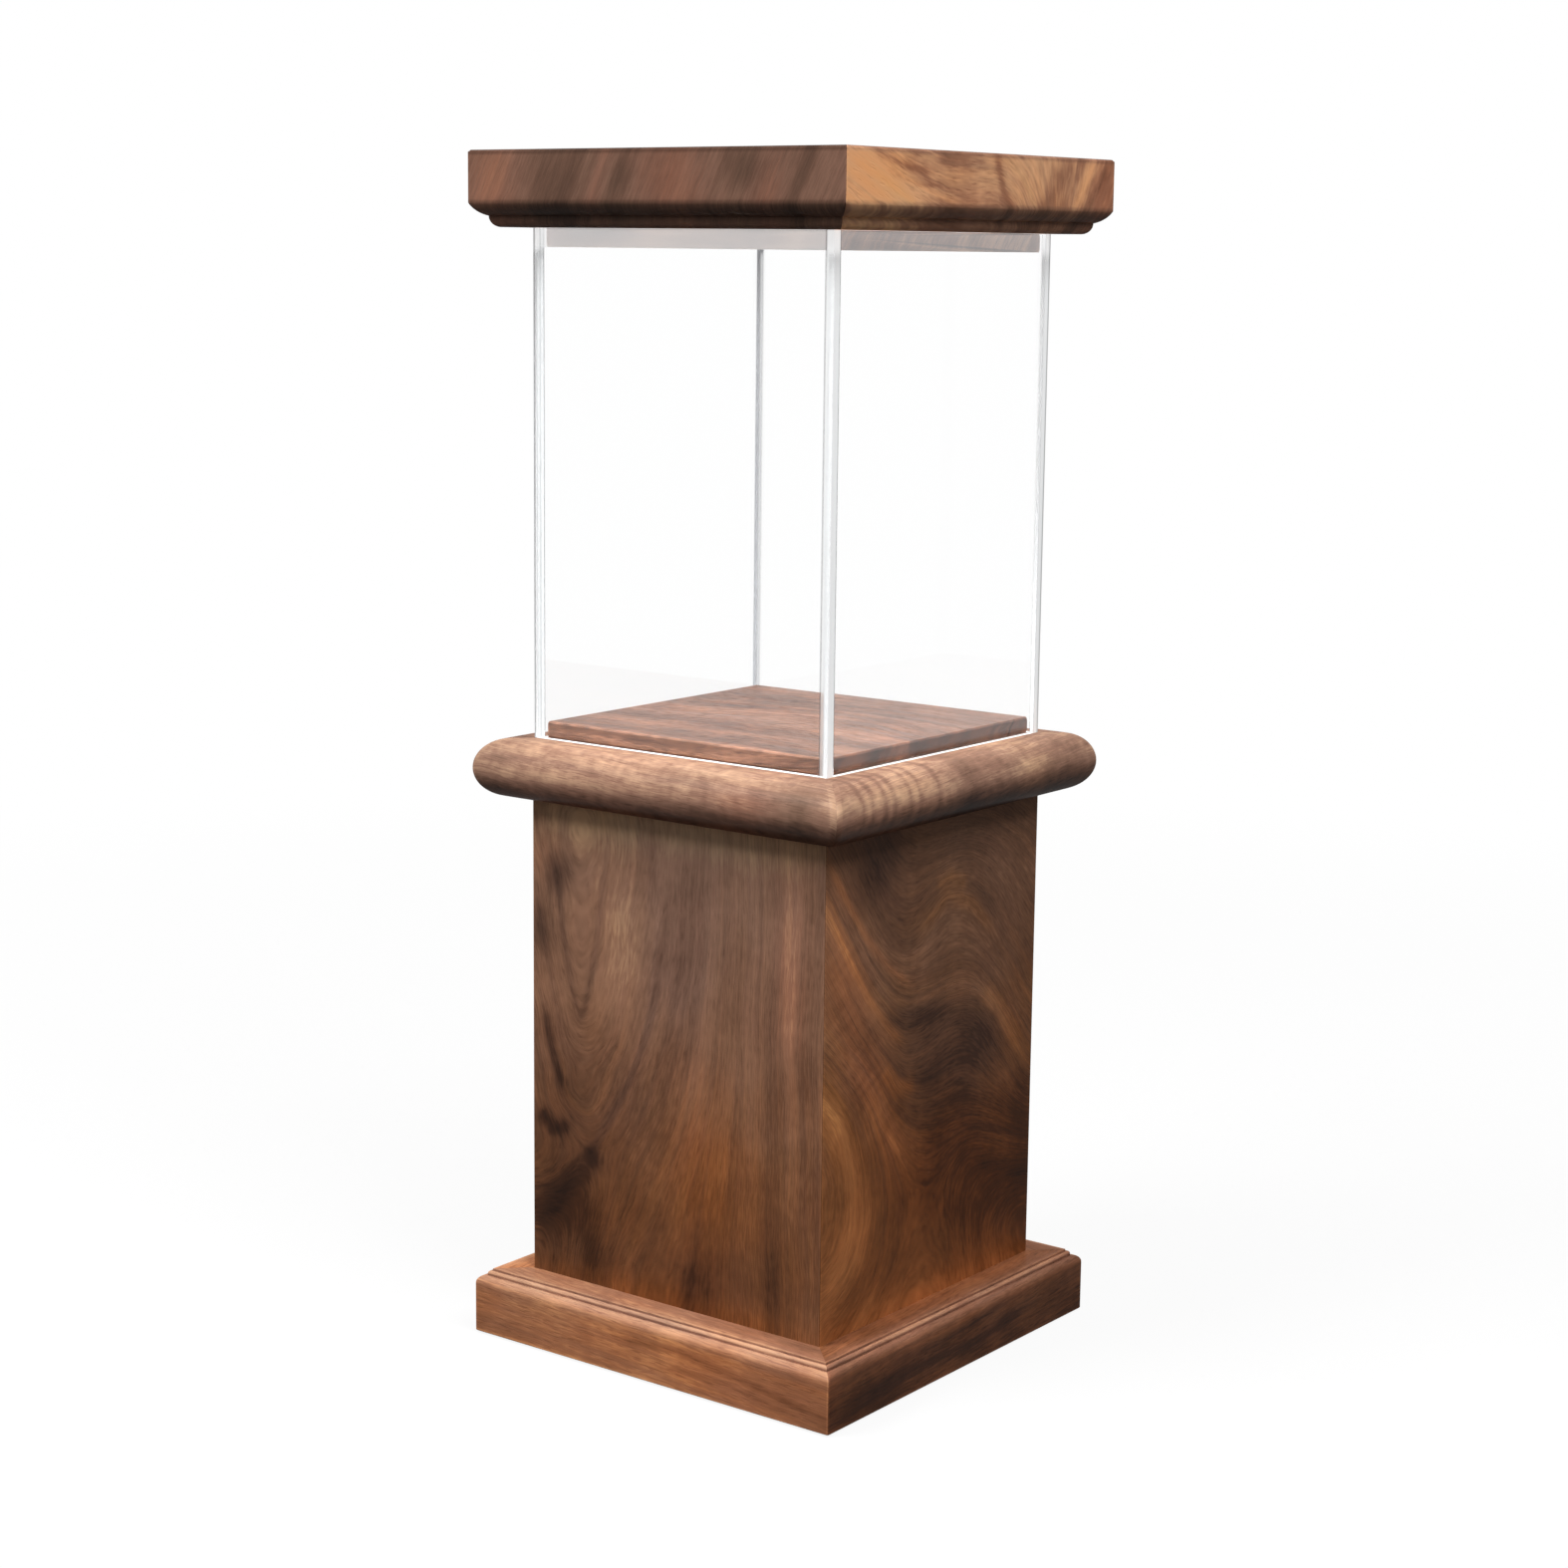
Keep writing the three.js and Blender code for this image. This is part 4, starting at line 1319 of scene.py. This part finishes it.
@dataclass(frozen=True)
class Deck:
    """Deck: four mitred bullnose rails, a ply panel in their ledge and the raised display board."""

    half: float = 157.8
    radius: float = 20.4
    inside: float = 102.0
    ledge: float = 111.91
    bottom: float = 389.2
    panel_bottom: float = 417.3
    top: float = 430.0
    ease: float = 6.0
    board_half: float = 118.45
    board_top: float = 441.8
    board_chamfer: float = 1.3

    def rail_shape(self) -> Shape:
        """The rail: a half round at the outer edge, a flat top and a ledge inside.

        Returns:
            The rail's shape at the front.
        """
        round_in, r = self.half - self.radius, self.radius
        profile = outline(
            [(self.inside, self.bottom)],
            rounded((round_in, self.bottom + r), (r, r), -90, 90, 30),
            [(self.ledge, self.top), (self.ledge, self.panel_bottom), (self.inside, self.panel_bottom)],
        )
        return mitred_rail(profile, round_in, self.half, self.ease, turns=10)

    def build(self) -> None:
        """Makes the rails and the display board, and dresses the panel and the screws."""
        walnut = Walnut("deck_walnut", gold=-1.1, red=-0.4, contrast=0.8, shift=70.0,
                        roughness=0.34, film=0.15, mottle=0.36)
        place_sides("deck_rail", "bullnose", "pedestal", self.rail_shape(), DECK_FIGURES, walnut, DECK_TONES,
                    self.bottom, self.half)
        slab = flat_slab((self.board_half, self.board_half), self.top, self.board_top, self.board_chamfer)
        # The display board's edges take a stronger painted highlight.
        walnut = Walnut("display_board_walnut", gold=-0.4, red=0.3, contrast=1.4, shift=95.0,
                        gloss=0.22, film=0.0, worn=0.12)
        place_slab("display_board_raised", "display_board", "pedestal", slab, TOP_FIGURE,
                   self.board_top, walnut)
        dress_nodes(PLY, "deck_panel")
        dress_nodes(BRASS, *(f"deck_screw_{corner}" for corner in CORNERS))


@dataclass(frozen=True)
class ClearCase:
    """Clear case: four bonded sheets, the front and back ones full width."""

    half: float = 125.8
    wall: float = 6.35
    bottom: float = 430.0
    height: float = 347.2
    broken: float = 0.3
    joint: float = 0.05
    at_end: float = 0.01

    def build(self) -> None:
        """Makes the four sheets, each a hair short of what it touches, and marks their sawn edges."""
        sheet, middle = ClearSheet().dress(), self.half - self.wall / 2
        low, high = self.bottom + self.joint, self.bottom + self.height - self.joint
        for side in Side:
            reach = self.half if side in (Side.FRONT, Side.BACK) else self.half - self.wall - self.joint
            slab = flat_slab((reach, self.wall / 2), low, high, self.broken, 2)
            rings = slab.rings - np.array([0, middle, 0])
            piece = closed_sweep(f"case_wall_{side.label}_clear", side.turn(rings))
            height = rings[..., 2]
            sawn = (height > height.max() - self.at_end) | (height < height.min() + self.at_end)
            sawn[[0, -1]] = True
            field = piece.data.attributes.new("sawn", "FLOAT", "POINT")
            field.data.foreach_set("value", sawn.astype(np.float32).ravel())
            place_piece(piece, sheet, "case", f"case_wall_{side.label}")


@dataclass(frozen=True)
class Lid:
    """Lid: four mitred rails with a stepped moulding below, a flush top panel and the plug board."""

    half: float = 156.75
    inside: float = 105.45
    ledge: float = 115.45
    bottom: float = 777.2
    bead_in: float = 140.65
    bead_top: float = 784.6
    bead_out: float = 146.85
    slope_in: float = 142.34
    slope_up: float = 799.95
    slope_radius: float = 16.0
    slope_turn: Point = (-73.62, -25.75)
    panel_bottom: float = 809.7
    panel_gap: float = 0.3
    panel_chamfer: float = 0.5
    top: float = 827.7
    chamfer: float = 1.4
    ease: float = 1.4
    plug_half: float = 118.45
    plug_bottom: float = 764.55
    plug_chamfer: float = 0.9

    def rail_shape(self) -> Shape:
        """The rail: flat underside, small round, shallow round to a crisp edge, upright face, broken top.

        Returns:
            The rail's shape at the front.
        """
        c, bead_reach = self.chamfer, (self.bead_out - self.bead_in, self.bead_top - self.bottom)
        profile = outline(
            [(self.inside, self.bottom)],
            rounded((self.bead_in, self.bead_top), bead_reach, -90, 0),
            rounded((self.slope_in, self.slope_up), (self.slope_radius, self.slope_radius), *self.slope_turn),
            [(self.half, self.top - c), (self.half - c, self.top), (self.ledge, self.top)],
            [(self.ledge, self.panel_bottom), (self.inside, self.panel_bottom)],
        )
        return mitred_rail(profile, self.bead_in, self.half, self.ease)

    def build(self) -> None:
        """Makes the rails, the top panel and the plug, and dresses the screws."""
        walnut = Walnut("lid_walnut", shift=110.0, pores=0.03)
        place_sides("lid_rail", "moulded", "lid", self.rail_shape(), LID_FIGURES, walnut, LID_TONES,
                    self.bottom, self.half)
        reach = self.ledge - self.panel_gap
        panel = flat_slab((reach, reach), self.panel_bottom, self.top, self.panel_chamfer)
        walnut = Walnut("lid_panel_walnut", tone=0.56, gold=0.1, red=0.15, contrast=0.9, shift=135.0)
        place_slab("lid_panel_flush", "lid_panel", "lid", panel, TOP_FIGURE, self.top, walnut)
        plug = flat_slab((self.plug_half, self.plug_half), self.plug_bottom, self.bottom, self.plug_chamfer)
        # The plug's pale grey tone and its veil are painted reflection of the clear case in front of it.
        pale = Walnut("lid_plug_walnut", tone=0.86, gold=-1.0, contrast=1.8, shift=140.0, reflection_veil=0.5)
        place_slab("lid_plug_board", "lid_plug", "lid", plug, PLUG_FIGURE, self.bottom, pale)
        dress_nodes(BRASS, *(f"plug_screw_{number}_{side.label}" for side in Side for number in (1, 2)))


# ---- Studio and camera


@dataclass(frozen=True)
class Studio:
    """Pale floor, white surroundings and two soft lamps. Its sizes are in metres."""

    floor_reach: float = 14.0
    floor_low: float = -0.0001
    floor_white: float = 0.90
    fading: Point = (0.4, 5.0)
    sky: float = 0.26
    aim: tuple[float, float, float] = (0.0, 0.0, 0.4)
    seen_by: tuple[str, str, str] = ("Camera", "Glossy", "Transmission")
    lamp_size: float = 1.8
    key: tuple[float, ...] = (140, -1.32, -2.47, 3.2)
    fill: tuple[float, ...] = (122, 2.45, -0.72, 3.43)

    def _lamp(self, name: str, power: float, *place: float) -> None:
        """A square soft lamp that faces the middle of the pedestal.

        Args:
            name: Its name.
            power: Its power in watts.
            place: Where it hangs: x, y and z.
        """
        light = bpy.data.lights.new(name, "AREA")
        light.energy, light.size = power, self.lamp_size
        lamp, aim = add_object(name, light), Vector(self.aim) - Vector(place)
        lamp.location, lamp.rotation_euler = place, aim.to_track_quat("-Z", "Y").to_euler()

    def _seen(self, bench: ShaderBench) -> Signal:
        """1 for rays from the camera, and for reflected and refracted ones."""
        first, *others = (bench.signal("LightPath", out=f"Is {kind} Ray") for kind in self.seen_by)
        return first.or_more(others[0]).or_more(others[1])

    def _world(self) -> None:
        """Makes the world: white where it is seen, dim where it lights."""
        bpy.context.scene.world = bpy.data.worlds.new("studio_white")
        bench = ShaderBench(bpy.context.scene.world)
        strength = self.sky + (1 - self.sky) * self._seen(bench)
        background = bench.shader("Background", {"Color": grey(1.0), "Strength": strength})
        bench.node("OutputWorld", inputs={"Surface": background})

    def _floor(self) -> Material:
        """The floor's finish: almost white where it is seen, dark where it lights.

        Returns:
            The material.
        """
        bench = ShaderBench.material("floor_pale")
        x, y, _ = bench.parts(bench.place())
        white = self.floor_white + (1 - self.floor_white) * (x * x + y * y).ramp(*self.fading)
        pale = bench.shader("BsdfDiffuse", {"Color": grey(0.85)})
        glow = bench.shader("Emission", {"Color": grey(1.0), "Strength": 1.0})
        shade = bench.shader("BsdfDiffuse", {"Color": (0.06, 0.055, 0.05, 1.0)})
        return bench.finish(bench.cover(self._seen(bench), shade, bench.cover(white, pale, glow)))

    def build(self) -> None:
        """Makes the world, the floor and the lamps."""
        self._world()
        mesh = bpy.data.meshes.new("studio_floor")
        r, low = self.floor_reach, self.floor_low
        mesh.from_pydata([(-r, -r, low), (r, -r, low), (r, r, low), (-r, r, low)], [], [(0, 1, 2, 3)])
        mesh.materials.append(self._floor())
        add_object("studio_floor", mesh)
        self._lamp("key_lamp", *self.key)
        self._lamp("fill_lamp", *self.fill)


@dataclass(frozen=True)
class Viewpoint:
    """The camera at the photograph's place, worked out from the case's corners."""

    place: tuple[float, float, float] = (1.25458, -1.66481, 0.76531)
    turned: float = 37.0878
    down: float = 10.0707
    rolled: float = 0.667
    lens: float = 69.23
    sensor: float = 36.0
    reach: Point = (0.05, 100.0)

    def build(self) -> None:
        """Makes the camera: turned about the upright, tipped down, then rolled about its own view."""
        camera = bpy.data.cameras.new("photo_camera")
        camera.lens, camera.sensor_width = self.lens, self.sensor
        camera.clip_start, camera.clip_end = self.reach
        matrix = Matrix.Translation(self.place)
        for degrees, axis in ((self.turned, "Z"), (90 - self.down, "X"), (self.rolled, "Z")):
            matrix = matrix @ Matrix.Rotation(math.radians(degrees), 4, axis)
        viewer = add_object("photo_camera", camera)
        viewer.matrix_world = matrix
        bpy.context.scene.camera = viewer


def main() -> None:
    """Builds the whole picture in order."""
    logging.basicConfig(level=logging.INFO, format="%(message)s")
    bpy.context.scene.view_settings.view_transform = "Standard"
    Viewpoint().build()
    Studio().build()
    for part in (Base(), Pedestal(), Deck(), ClearCase(), Lid()):
        log.info("building the %s", type(part).__name__)
        part.build()
    bpy.context.view_layer.update()


if __name__ == "__main__":
    main()
